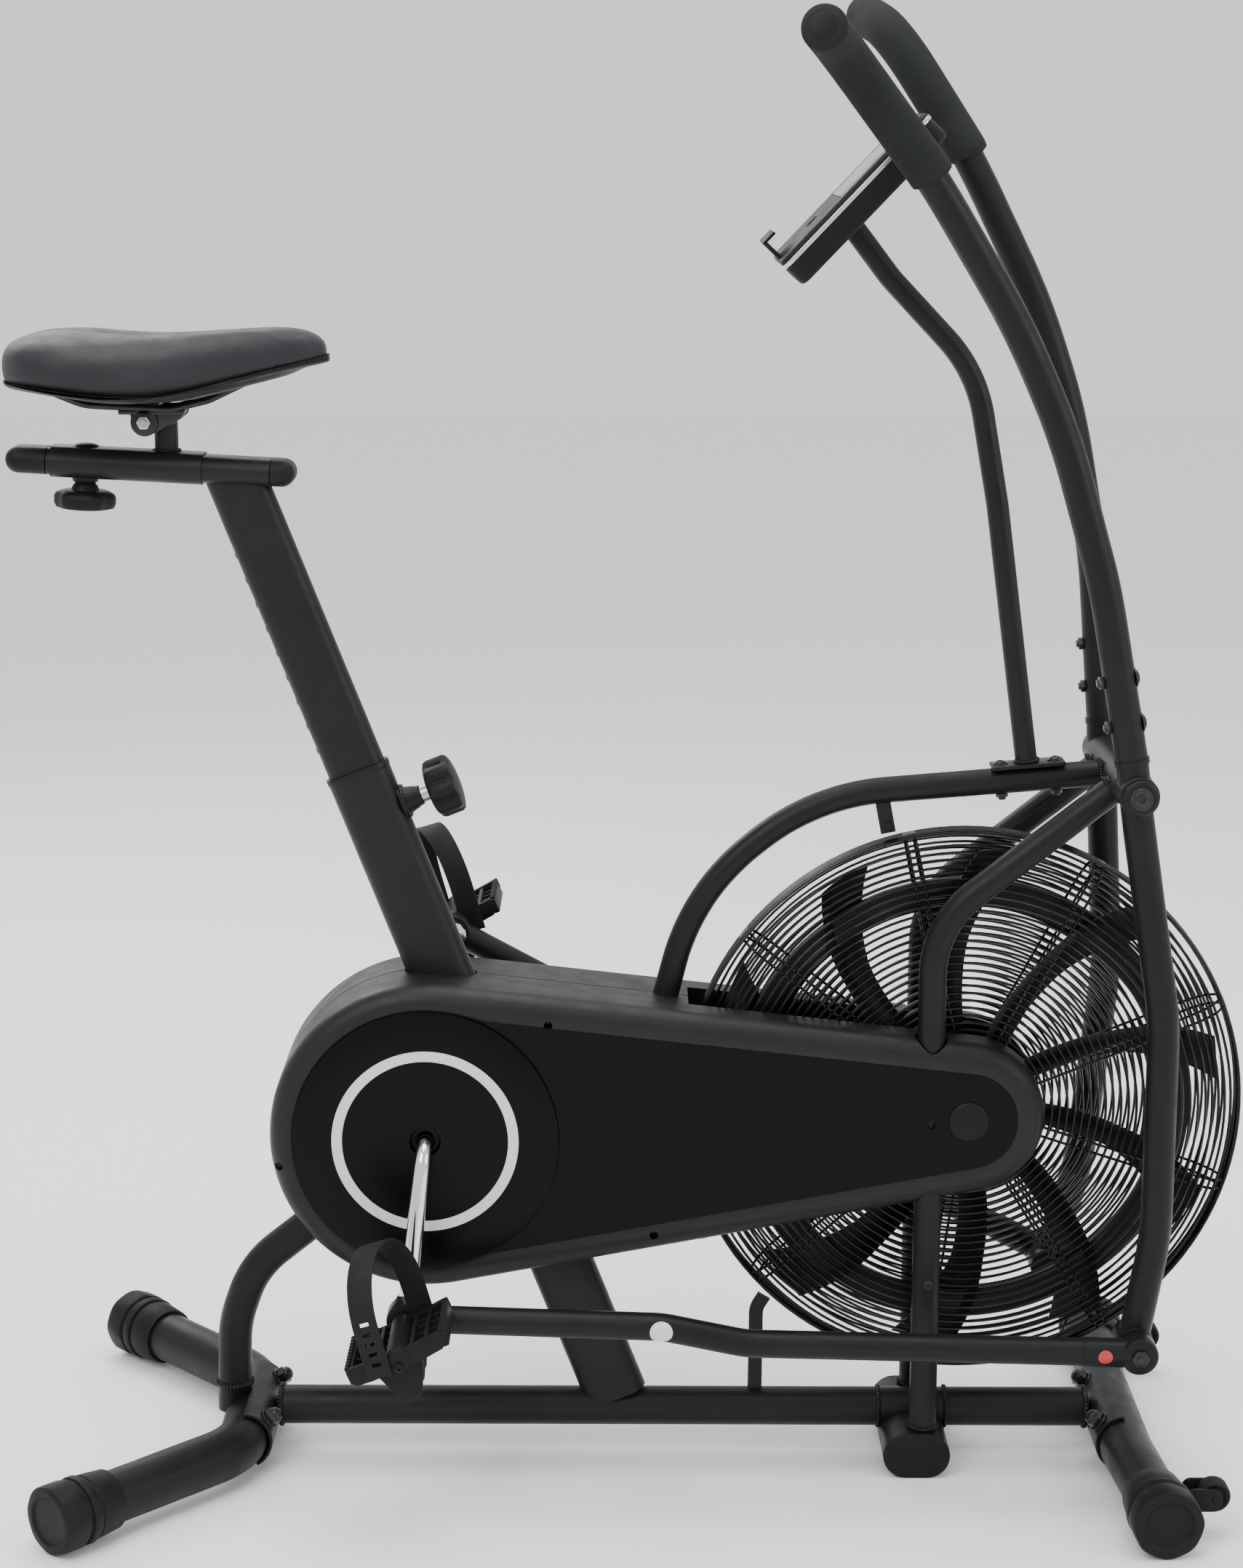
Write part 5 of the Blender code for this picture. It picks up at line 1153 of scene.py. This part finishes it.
def build_strap(name, side, width, place):
    """Rubber toe strap: a tall loop whose slotted outer leg stands behind its inner one."""
    lean = place @ Matrix.Rotation(radians(8), 4, "Y")
    half, height, wide, thick = width / 2 + 0.0029, 0.0965, 0.023, 0.0026
    loop = [(-half, -0.0105), (-half, 0.01)]
    for step in range(31):
        angle = pi - pi * step / 30
        loop.append((half * cos(angle), 0.03 + (height - 0.03) * sin(angle) ** 0.92))
    loop += [(half, 0.01), (half, -0.0105)]
    path = [lean @ Vector((strap_shift(u * side), u, v)) for u, v in loop]
    along_band = (lean.to_3x3() @ X).normalized()
    outline = rounded_rectangle(thick, wide, 0.0008, 2)
    band = piece(f"strap_{name}", [sweep(path, outline, along_band)], RUBBER, f"pedal_{name}",
                 f"pedal_strap_{name}")
    slots = []
    for k in range(5):
        up = 0.002 + 0.0098 * k
        slot_place = lean @ translation(strap_shift(half), half * side, up)
        slots.append(brick((0.0085, 0.012, 0.0042), slot_place, 0.0004, 1))
    carve(band, slots)
    rivet = placed(lean @ Vector((0, (half + 0.0012) * side, -0.007)), (lean.to_3x3() @ Y) * side, Z)
    piece(f"strap_stud_{name}", dome_bolt(rivet, 0.0036, 0.0028), MOULDED, f"pedal_{name}")


# ---------------------------------------------------------------- handles
UPPER_ARM = [(0.4565, 0.105, 0.7165), (0.4265, 0.106, 0.876), (0.385, 0.109, 1.015), (0.34, 0.113, 1.113),
             (0.256, 0.13, 1.248), (0.176, 0.162, 1.35), (0.1545, 0.252, 1.367)]
UPPER_ARM_BEND = 0.6
SPIGOT_LOW = Vector((0.462, ARM_Y, 0.687))
SPIGOT_HIGH = Vector((0.4411, ARM_Y, 0.798))
ARM_FORE = Vector((0.983, 0, 0.185))
ARM_BOLTS = (0.22, 0.48)  # along the upper arm's first run


def swung(points, side, name):
    """Points of the right arm, set on their own side and turned about the pivot to that arm's rest."""
    turn = RIGHT_SWING - SWING[name]
    return turned_about(sided(points, side), PIVOT, turn)


def arm_place(point, across, side, name):
    """Frame at a point of the right arm, carried over to this arm."""
    turn = RIGHT_SWING - SWING[name]
    made = placed((point[0], point[1] * side, point[2]), across, X)
    about = Matrix.Translation(PIVOT) @ Matrix.Rotation(turn, 4, "Y") @ Matrix.Translation(-PIVOT)
    return about @ made


def build_handle(name, side):
    body = f"handle_{name}"
    foot = arm_foot(RIGHT_SWING)
    lower = bent_path([(0.4567, ARM_Y, 0.715), (PIVOT.x + 0.002, ARM_Y, 0.66), (0.495, ARM_Y, 0.47),
                       (0.495, ARM_Y, 0.26), (foot.x, ARM_Y, foot.z)], 0.35, 12)
    eye = [(0, 0.123), (0.015, 0.123), (0.0172, 0.1222), (0.018, 0.1205), (0.018, 0.091), (0.0172, 0.0893),
           (0.015, 0.0885), (0, 0.0885)]
    bush = [(0.0142, 0.1232), (0.017, 0.1232), (0.0185, 0.122), (0.0185, 0.088), (0.017, 0.0868),
            (0.0142, 0.0868)]
    eye_place = arm_place((foot.x, 0, foot.z), Y * side, side, name)
    bush_place = arm_place((PIVOT.x, 0, PIVOT.z), Y * side, side, name)
    spigot = swung([SPIGOT_LOW, SPIGOT_HIGH], side, name)
    lip_end = SPIGOT_LOW.lerp(SPIGOT_HIGH, 0.285)
    lip_along = (SPIGOT_HIGH - SPIGOT_LOW).normalized()
    collar = swung([lip_end - lip_along * 0.004, lip_end, lip_end + lip_along * 0.001], side, name)
    shapes = [
        tube(swung(lower, side, name), ARM_RADIUS, 32),
        turned(eye, eye_place, 44),
        turned(bush, bush_place, 44),
        tube(spigot, 0.0126, 28),
        tube(collar, ARM_RADIUS + 0.0012, 32),
    ]
    piece(f"arm_lower_{name}", shapes, POWDER, body, f"lower_arm_{name}")
    upper_path = swung(bent_path(UPPER_ARM, UPPER_ARM_BEND, 16), side, name)
    upper = piece(f"arm_upper_{name}", [tube(upper_path, ARM_RADIUS, 32, X)], POWDER, body,
                  f"upper_arm_{name}")
    bore = swung([SPIGOT_LOW, (0.4409, ARM_Y, 0.799)], side, name)
    carve(upper, [tube(bore, 0.0129, 28)])
    bolts = []
    start, end = Vector(UPPER_ARM[0]), Vector(UPPER_ARM[1])
    for share in ARM_BOLTS:
        middle, reach = start.lerp(end, share), ARM_FORE * (ARM_RADIUS - 0.0006)
        bolts += dome_bolt(arm_place(middle + reach, ARM_FORE, side, name), 0.0068, 0.0042)
        bolts += hex_nut(arm_place(middle - reach, -ARM_FORE, side, name), 0.011, 0.0048)
    piece(f"arm_bolts_{name}", bolts, BLACK_ZINC, body)
    build_grip(name, side)
    cap_place = outward((PIVOT.x, 0, PIVOT.z), side)
    cap = [(0, 0.1322), (0.006, 0.1322), (0.0135, 0.1318), (0.016, 0.1308), (0.017, 0.1296), (0.017, 0.1285),
           (0, 0.1285)]
    piece(f"pivot_washer_{name}", [turned(cap, cap_place, 44)], POWDER, "frame", f"pivot_cap_{name}")
    head = outward((PIVOT.x, 0.132 * side, PIVOT.z), side)
    piece(f"pivot_bolt_{name}", dome_bolt(head, 0.0078, 0.003), BLACK_ZINC, "frame")


def build_grip(name, side):
    """Foam sleeve from the arm's bend to its end, slightly swollen, with soft rounded ends."""
    start = Vector(UPPER_ARM[3]).lerp(Vector(UPPER_ARM[4]), 0.94)
    last, before = Vector(UPPER_ARM[-1]), Vector(UPPER_ARM[-2])
    outer_end = last + (last - before).normalized() * 0.0078
    centre = bent_path([start, UPPER_ARM[4], UPPER_ARM[5], outer_end], UPPER_ARM_BEND, 14)
    path = swung(resampled(centre, 0.004), side, name)
    total = len(path) - 1
    scales = []
    for k in range(total + 1):
        from_end = min(k, total - k) * 0.004
        beyond = max(0.0, 0.006 - from_end) / 0.0075
        scales.append(sqrt(max(0.3, 1 - beyond**2)))
    grip = piece(f"foam_grip_{name}", [tube(path, GRIP_RADIUS - 0.0004, 36, X, scales)], FOAM,
                 f"handle_{name}", f"grip_{name}", sharp=60)
    plug_place = frame_at(path[-1], path[-1] - path[-2])
    plug = [(0, 0.0012), (0.0095, 0.0011), (0.0118, 0.0004), (0.0122, -0.003), (0, -0.003)]
    piece(f"arm_plug_{name}", [turned(plug, plug_place, 32)], MOULDED, f"handle_{name}")


def resampled(points, gap):
    """The same line with points at even gaps."""
    points = [Vector(p) for p in points]
    lengths = [(b - a).length for a, b in zip(points, points[1:])]
    total = sum(lengths)
    count = max(2, round(total / gap))
    made = []
    for k in range(count + 1):
        want = total * k / count
        for (a, b), length in zip(zip(points, points[1:]), lengths):
            if want <= length or b is points[-1]:
                made.append(a.lerp(b, min(1.0, want / length)))
                break
            want -= length
    return made


def frame_at(origin, along):
    across = X if abs(Vector(along).normalized().x) < 0.9 else Z
    return placed(origin, along, across)


# ---------------------------------------------------------------- seat post, slider and clamp
def oval_bar(start, end, wide, deep):
    """A flat oval bar whose wide side lies across the bike, its end edges softened."""
    along = (Vector(end) - Vector(start)).normalized()
    rounding = 0.0012
    points = [Vector(start), Vector(start) + along * rounding, Vector(end) - along * rounding, Vector(end)]
    soft = 1 - 2 * rounding / deep
    return sweep(points, flat_oval(wide, deep, 14), Y, scales=[soft, 1, 1, soft])


def build_seat_post():
    """Post with height stops, mitred under the rail that carries the slider."""
    head = SLEEVE_TOP + SEAT_UP * POST_OUT
    foot = SLEEVE_TOP - SEAT_UP * 0.15
    post = sweep([foot, head], oval(*POST_SECTION, 16), Y)
    for vertex in post.verts:
        if (vertex.co - head).dot(SEAT_UP) > -0.001:
            under = SADDLE_RAIL - RAIL_UP * 0.004 - vertex.co
            vertex.co += SEAT_UP * (under.dot(RAIL_UP) / SEAT_UP.dot(RAIL_UP))
    rail_start = SADDLE_RAIL + RAIL_FORE * -0.1345
    rail_end = SADDLE_RAIL + RAIL_FORE * 0.135
    rail = oval_bar(rail_start + RAIL_FORE * 0.038, rail_end - RAIL_FORE * 0.022, 0.046, 0.025)
    piece("post_and_rail", [post, rail], POWDER, "seat_post", "seat_post")
    caps = []
    for start, end in ((rail_start, rail_start + RAIL_FORE * 0.0382),
                       (rail_end, rail_end - RAIL_FORE * 0.0222)):
        inwards = (end - start).normalized()
        stations = []
        for step in range(9):
            angle = pi / 2 * step / 8
            inset = 0.0122 * (1 - sin(angle))
            outline = flat_oval(0.0461 - 2 * inset, 0.0251 - 2 * inset, 12)
            stations.append((start + inwards * 0.0125 * (1 - cos(angle)), outline))
        stations.append((end, flat_oval(0.0461, 0.0251, 12)))
        caps.append(stacked(stations, inwards))
    piece("rail_end_caps", caps, MOULDED, "seat_post")
    marks = []
    for index in range(9):
        at = SLEEVE_TOP + SEAT_UP * (0.03 + 0.025 * index) - SEAT_FORE * (POST_SECTION[0] / 2 - 0.0006)
        marks.append(drum(0.0036, 0.0008, -0.001, placed(at, -SEAT_FORE, Y), 20))
    piece("height_stops", marks, BLACK_ZINC, "seat_post")


def build_slider():
    """Sleeve that rides the rail, with the saddle's stem and the rail knob's bosses."""
    start = SADDLE_RAIL + RAIL_FORE * -0.092
    end = SADDLE_RAIL + RAIL_FORE * 0.049
    sleeve = hollow_bar(start, end, flat_oval(0.05, 0.029, 16), flat_oval(0.0466, 0.0256, 16))
    stem = tube([Vector((STEM_X, 0, 0.988)), Vector((STEM_X, 0, 1.0175))], 0.011, 32)
    top = SADDLE_RAIL + RAIL_FORE * KNOB_BACK + RAIL_UP * 0.0125
    hump = turned([(0, 0.0052), (0.006, 0.005), (0.0105, 0.004), (0.013, 0.002), (0.014, 0.0006),
                   (0, 0.0006)],
                  placed(top, RAIL_UP, Y), 40)
    boss = SADDLE_RAIL + RAIL_FORE * KNOB_BACK - RAIL_UP * 0.0125
    low_boss = turned([(0.006, 0.0062), (0.011, 0.0062), (0.012, 0.005), (0.0125, 0.0006), (0.006, 0.0006)],
                      placed(boss, -RAIL_UP, Y), 40)
    collar = weld(Vector((STEM_X, 0, 0.9898)), Z, 0.0122, 0.0016, 26)
    piece("slider_sleeve", [sleeve, stem, hump, low_boss, collar], POWDER, "seat_slider", "seat_slider")


def build_clamp():
    """Saddle clamp: two round jaws and two cheeks on one bolt, under a plate that cradles the rails."""
    shapes = []
    for side in (-1, 1):
        place = outward(TILT_AXIS, side)
        jaw = [(0, 0.021), (0.0105, 0.021), (0.0124, 0.0202), (0.013, 0.019), (0.013, 0.0142),
               (0.0122, 0.013), (0.0105, 0.0126), (0, 0.0126)]
        shapes.append(turned(jaw, place, 40))
    cheek = [(-0.0125, -0.006), (-0.013, 0.006), (-0.023, 0.0132), (0.039, 0.0132), (0.036, 0.006),
             (0.029, 0.0), (0.02, -0.004), (0.01, -0.01), (0, -0.0125), (-0.008, -0.0105)]
    for y in (-0.0128, 0.0176):
        upright = Matrix.Translation(TILT_AXIS + Y * y) @ UPRIGHT
        shapes.append(slab(cheek, upright, 0.0048, 0.0008))
    plate = Matrix.Translation(TILT_AXIS + Vector((0.006, 0, 0.0093)))
    shapes.append(brick((0.06, 0.042, 0.0044), plate, 0.0014))
    shapes.append(brick((0.016, 0.04, 0.008), Matrix.Translation(TILT_AXIS + Vector((0.006, 0, 0.0142))),
                        0.0016))
    shapes.append(rod_between(TILT_AXIS - Y * 0.0245, TILT_AXIS + Y * 0.0245, 0.004, 20))
    piece("saddle_jaws", shapes, BLACK_ZINC, "saddle", "saddle_clamp")
    nuts = []
    for side in (-1, 1):
        nuts += hex_nut(outward(TILT_AXIS + Y * 0.0209 * side, side), 0.0118, 0.005)
    piece("clamp_nuts", nuts, STEEL, "saddle", slot="powder_coat")


# ---------------------------------------------------------------- knobs
def lobed_knob(name, body, place, radius, height, lobes, dish, *replaced, slot_shapes=()):
    """A moulded knob with rounded lobes, a stepped skirt and a slightly domed face."""
    deep = 0.003
    skirt = [
        (0, height), (radius * 0.3, height), (radius * 0.62, height - dish * 0.4),
        (radius * 0.8, height - dish), (radius * 0.93, height - dish * 1.6, deep * 0.7),
        (radius, height - 0.006, deep), (radius, 0.0062, deep), (radius * 0.95, 0.003, deep * 0.9),
        (radius * 0.82, 0.001, deep * 0.4), (radius * 0.7, 0), (0, 0),
    ]
    knob = piece(name, [turned(skirt, place, 144, lobes)], MOULDED, body, *replaced)
    if slot_shapes:
        carve(knob, slot_shapes)
    return knob


def build_knobs():
    face = SLEEVE_TOP - SEAT_UP * PIN_DROP + SEAT_FORE * 0.0485
    base = placed(face + SEAT_FORE * 0.0085, SEAT_FORE, Y)
    lobes = 8
    slots = []
    for k in range(lobes):
        turn = Matrix.Rotation(2 * pi * (k + 0.5) / lobes, 4, "Z")
        slots.append(brick((0.006, 0.005, 0.015), base @ turn @ translation(0.0282, 0, 0.0135), 0.0009, 1))
    lobed_knob("post_knob", "height_knob", base, 0.029, 0.029, lobes, 0.0018, "height_knob",
               slot_shapes=slots)
    shank = [(0, 0.001), (0.0078, 0.001), (0.0078, -0.015), (0, -0.015)]
    piece("post_knob_shank", [turned(shank, base, 32)], STEEL, "height_knob", slot="black_plastic")
    root = SADDLE_RAIL + RAIL_FORE * KNOB_BACK - RAIL_UP * 0.0188
    under = placed(root - RAIL_UP * 0.0075, -RAIL_UP, Y)
    lobed_knob("rail_knob", "slider_knob", under, 0.029, 0.0185, 6, 0.0014, "slider_knob")
    neck = [(0, 0.001), (0.0135, 0.001), (0.0118, -0.004), (0.0093, -0.0068), (0, -0.0068)]
    piece("rail_knob_neck", [turned(neck, under, 40)], MOULDED, "slider_knob")


# ---------------------------------------------------------------- saddle
SADDLE_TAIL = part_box("saddle")[0].x + 0.01
SADDLE_SECTIONS = (
    # distance from the tail, half width, top height, bottom height
    (0.0, 0.052, 1.085, 1.047), (0.01, 0.078, 1.094, 1.0445), (0.03, 0.1, 1.1, 1.042),
    (0.064, 0.114, 1.1015, 1.0375), (0.102, 0.106, 1.099, 1.033), (0.14, 0.084, 1.098, 1.033),
    (0.178, 0.062, 1.1, 1.0395), (0.218, 0.047, 1.103, 1.0495), (0.252, 0.04, 1.1045, 1.058),
    (0.276, 0.033, 1.102, 1.064), (0.289, 0.024, 1.096, 1.067), (0.296, 0.013, 1.088, 1.069),
)


def eased(values, share):
    """A smooth curve through evenly numbered values, read at a share of the way along."""
    last = len(values) - 1
    position = min(max(share, 0.0), 1.0) * last
    k = min(int(position), last - 1)
    t = position - k
    p0, p1, p2, p3 = (values[min(max(k + j, 0), last)] for j in (-1, 0, 1, 2))
    return 0.5 * (2 * p1 + (p2 - p0) * t + (2 * p0 - 5 * p1 + 4 * p2 - p3) * t * t
                  + (3 * p1 - p0 - 3 * p2 + p3) * t**3)


def saddle_section(share, shrink=0.0):
    reach, half, top, bottom = (eased([row[k] for row in SADDLE_SECTIONS], share) for k in range(4))
    return reach, max(half - shrink, 0.004), top - shrink, bottom + shrink


def saddle_height(middle, top, bottom, v):
    """Height at a sine of the way round a section: a rounded top over a boxier underside."""
    rise = (top - middle) if v > 0 else (middle - bottom)
    return middle + rise * copysign(abs(v) ** (0.78 if v > 0 else 0.5), v)


def saddle_skin(rows, around, shrink):
    """The saddle's closed skin: a rounded top over a flat underside, pear-shaped from above."""
    bm = bmesh.new()
    rings = []
    for row in range(rows + 1):
        share = 0.5 - 0.5 * cos(pi * row / rows)
        share = 0.02 + 0.96 * share
        reach, half, top, bottom = saddle_section(share, shrink)
        middle = bottom + (top - bottom) * 0.46
        groove = 0.0034 * exp(-((share - 0.45) / 0.25) ** 2)
        ring = []
        for k in range(around):
            angle = 2 * pi * k / around
            u, v = cos(angle), sin(angle)
            wide = half * copysign(abs(u) ** 0.62, u)
            height = saddle_height(middle, top, bottom, v)
            if v > 0:
                height -= groove * exp(-(wide / 0.012) ** 2)
            ring.append(bm.verts.new((SADDLE_TAIL + reach, wide, height)))
        rings.append(ring)
    bridge(bm, rings)
    close_ends(bm, rings)
    bmesh.ops.recalc_face_normals(bm, faces=bm.faces)
    return bm


def plump(cover, pressure, frames, cap):
    """Blow the cover up a little as stitched cloth, then hold it within a set distance of its start."""
    bpy.context.view_layer.update()
    start = [v.co.copy() for v in cover.data.vertices]
    pin = cover.vertex_groups.new(name="pinned")
    low = min(p.z for p in start)
    tacked = [k for k, p in enumerate(start) if p.z < low + 0.004 + 0.3 * (saddle_rim(p.x) - low)]
    pin.add(tacked, 1.0, "REPLACE")
    cloth = cover.modifiers.new("cloth", "CLOTH")
    cloth.settings.quality = 8
    cloth.settings.mass = 0.25
    cloth.settings.tension_stiffness = 22
    cloth.settings.compression_stiffness = 22
    cloth.settings.bending_stiffness = 1.2
    cloth.settings.vertex_group_mass = "pinned"
    cloth.settings.use_pressure = True
    cloth.settings.uniform_pressure_force = pressure
    cloth.settings.effector_weights.gravity = 0
    cloth.point_cache.frame_start = 1
    cloth.point_cache.frame_end = frames
    scene = bpy.context.scene
    for number in range(1, frames + 1):
        scene.frame_set(number)
    graph = bpy.context.evaluated_depsgraph_get()
    blown = [v.co.copy() for v in cover.evaluated_get(graph).data.vertices]
    cover.modifiers.clear()
    cover.vertex_groups.clear()
    scene.frame_set(1)
    for vertex, before, after in zip(cover.data.vertices, start, blown):
        move = after - before
        if move.length > cap:
            move = move.normalized() * cap
        vertex.co = before + move


def saddle_rim(x):
    """Height of the saddle's underside edge at a place along the bike."""
    share = min(max((x - SADDLE_TAIL) / SADDLE_SECTIONS[-1][0], 0.0), 1.0)
    reaches = [row[0] / SADDLE_SECTIONS[-1][0] for row in SADDLE_SECTIONS]
    for (a, b), (low, high) in zip(zip(reaches, reaches[1:]), zip(SADDLE_SECTIONS, SADDLE_SECTIONS[1:])):
        if share <= b:
            blend = (share - a) / (b - a)
            return low[3] * (1 - blend) + high[3] * blend
    return SADDLE_SECTIONS[-1][3]


def saddle_top_line(share, side, drop):
    """A point on the saddle's side, down from its top by a share of its depth."""
    reach, half, top, bottom = saddle_section(0.02 + 0.96 * share, 0.0006)
    middle = bottom + (top - bottom) * 0.46
    height = saddle_height(middle, top, bottom, sin(drop))
    return Vector((SADDLE_TAIL + reach, half * abs(cos(drop)) ** 0.62 * side, height))


def build_saddle():
    skin = saddle_skin(54, 72, 0.0032)
    cover = piece("saddle_cover", [skin], VINYL, "saddle", "saddle", sharp=75)
    remesh = cover.modifiers.new("even", "REMESH")
    remesh.mode = "VOXEL"
    remesh.voxel_size = 0.0045
    graph = bpy.context.evaluated_depsgraph_get()
    even = bpy.data.meshes.new_from_object(cover.evaluated_get(graph))
    cover.modifiers.clear()
    cover.data = even
    plump(cover, 4.0, 20, 0.003)
    smooth = cover.modifiers.new("fine", "SUBSURF")
    smooth.levels = 1
    smooth.render_levels = 1
    cover.data.shade_smooth()
    build_saddle_seams(cover)
    pan = saddle_skin(40, 48, 0.0052)
    for vertex in list(pan.verts):
        rim = saddle_rim(vertex.co.x) + 0.0125
        vertex.co.z = min(vertex.co.z, rim)
    bmesh.ops.translate(pan, vec=(0, 0, -0.0015), verts=pan.verts)
    piece("saddle_base", [pan], MOULDED, "saddle", sharp=50)
    rails = []
    for side in (-1, 1):
        run = [(-0.535, 0.036 * side, 1.045), (-0.51, 0.022 * side, 1.033), (-0.43, 0.019 * side, 1.029),
               (-0.395, 0.018 * side, 1.0375), (-0.36, 0.013 * side, 1.054)]
        rails.append(tube(bent_path(run, 0.03, 6), 0.0032, 16, Y))
    piece("saddle_rails", rails, BLACK_ZINC, "saddle")


def build_saddle_seams(cover):
    """Piping low on each side of the saddle, where the cover is sewn to its hem."""
    graph = bpy.context.evaluated_depsgraph_get()
    graph.update()
    shapes = []
    for side in (-1, 1):
        line = []
        for step in range(61):
            want = saddle_top_line(0.03 + 0.94 * step / 60, side, -0.62)
            found, place, normal = cover.closest_point_on_mesh(want)[:3]
            line.append(place + normal * 0.0001 if found else want)
        shapes.append(tube(line, 0.001, 8, Z))
    piece("saddle_piping", shapes, VINYL, "saddle", sharp=60)


# ---------------------------------------------------------------- console and its mast
CONSOLE_FORE = Vector((0.6899, 0, 0.7239))
CONSOLE_OUT = Vector((-0.7239, 0, 0.6899))
CONSOLE_LOW = Vector((0.128, 0, 1.167))
CONSOLE_SIZE = (0.185, 0.16, 0.031)


def on_console(along, out, across=0.0):
    """Frame on the console: local X up its face, local Y across the bike, local Z out of its face."""
    turn = Matrix((CONSOLE_FORE, Y, CONSOLE_OUT)).transposed().to_4x4()
    origin = CONSOLE_LOW + CONSOLE_FORE * along + CONSOLE_OUT * out + Y * across
    return Matrix.Translation(origin) @ turn


def build_console_post():
    place = translation(0.374, 0, 0.694) @ Matrix.Rotation(radians(-4.8), 4, "Y")
    shapes = [tube(POST_PATH, POST_RADIUS, 28), brick((0.07, 0.03, 0.0038), place, 0.0012)]
    shapes.append(weld(Vector(POST_PATH[0]) + Z * 0.003, Vector(POST_PATH[1]) - Vector(POST_PATH[0]),
                       POST_RADIUS + 0.0004, 0.0018, 24, Y))
    piece("mast", shapes, POWDER, "frame", "console_post")
    bolts = []
    for shift in (-0.026, 0.026):
        top = place @ translation(shift, 0, 0.0019)
        bolts += dome_bolt(top, 0.0056, 0.0036)
        low = place @ translation(shift, 0, -0.0262) @ Matrix.Rotation(pi, 4, "X")
        bolts += hex_nut(low, 0.01, 0.0044)
    piece("mast_bolts", bolts, BLACK_ZINC, "frame")


def build_console():
    length, width, deep = CONSOLE_SIZE
    face = rounded_rectangle(length, width, 0.012, 6)
    shell = slab(face, on_console(length / 2, -deep + 0.0006), deep - 0.0006, 0.0045, 4)
    ledge = brick((0.004, 0.07, 0.03), on_console(0.004, 0.006), 0.0008)
    hook = brick((0.014, 0.07, 0.003), on_console(0.01, 0.0195), 0.001)
    body = piece("console_case", [shell], MOULDED, "frame", "console_body")
    cutters = [brick((0.09, 0.13, 0.006), on_console(0.125, 0.0005), 0.001)]
    cutters.append(drum(0.0072, 0.004, -0.008, on_console(0.048, 0), 32))
    socket = on_console(0.15, -0.015, -width / 2).translation
    cutters.append(drum(0.0032, 0.004, -0.01, placed(socket, -Y, Z), 24))
    carve(body, cutters)
    piece("phone_hook", [ledge, hook], MOULDED, "frame")
    window = slab(rounded_rectangle(0.0888, 0.1288, 0.004, 4), on_console(0.125, -0.0022), 0.0022, 0.0004)
    piece("display_window", [window], LENS, "frame", "console_lens")
    glass = slab(rounded_rectangle(0.058, 0.094, 0.003, 4), on_console(0.127, -0.0003), 0.00045, 0.0001)
    piece("display_glass_panel", [glass], LCD, "frame")
    outline = rounded_rectangle(length - 0.004, width - 0.004, 0.011, 6)
    rim = on_console(length / 2, -0.0068)
    trim = sweep([rim @ Vector((u * (1 + 0.004 / length), v * (1 + 0.004 / width), 0)) for u, v in outline],
                 rounded_rectangle(0.0016, 0.0042, 0.0006, 2), CONSOLE_OUT, closed=True)
    piece("console_trim", [trim], SILVER, "frame")
    cap = [(0, 0.0015), (0.004, 0.0015), (0.0058, 0.001), (0.0065, 0.0), (0.0065, -0.004), (0, -0.004)]
    piece("console_key", [turned(cap, on_console(0.048, 0), 40)], RUBBER, "console_button",
          "console_button")
    ribs = [slab(rounded_rectangle(0.004, 0.09, 0.0015, 3), on_console(0.06 + 0.013 * k, -deep + 0.0002),
                 0.0014, 0.0004) for k in range(7)]
    piece("console_vents", ribs, MOULDED, "frame")


# ---------------------------------------------------------------- drive parts kept from the CAD
def dress_kept_nodes():
    """Give the drive parts inside the housing, kept as modelled, their own materials."""
    looks = {"crank_shell": POWDER, "fan_axle": STEEL, "drive_belt": RUBBER, "drive_pulley": MOULDED,
             "fan_pulley": STEEL}
    for node, look in looks.items():
        made = frame["nodes"][node]
        made.data.materials.clear()
        made.data.materials.append(look)


build_base()
build_seat_tube()
build_frame_tubes()
build_feet()
build_housing()
build_fan()
build_crank()
for name, side in SIDES.items():
    build_strut(name, side)
    build_rod(name, side)
    build_pedal(name, side)
    build_handle(name, side)
build_seat_post()
build_slider()
build_clamp()
build_knobs()
build_saddle()
build_console_post()
build_console()
dress_kept_nodes()
build_stage()
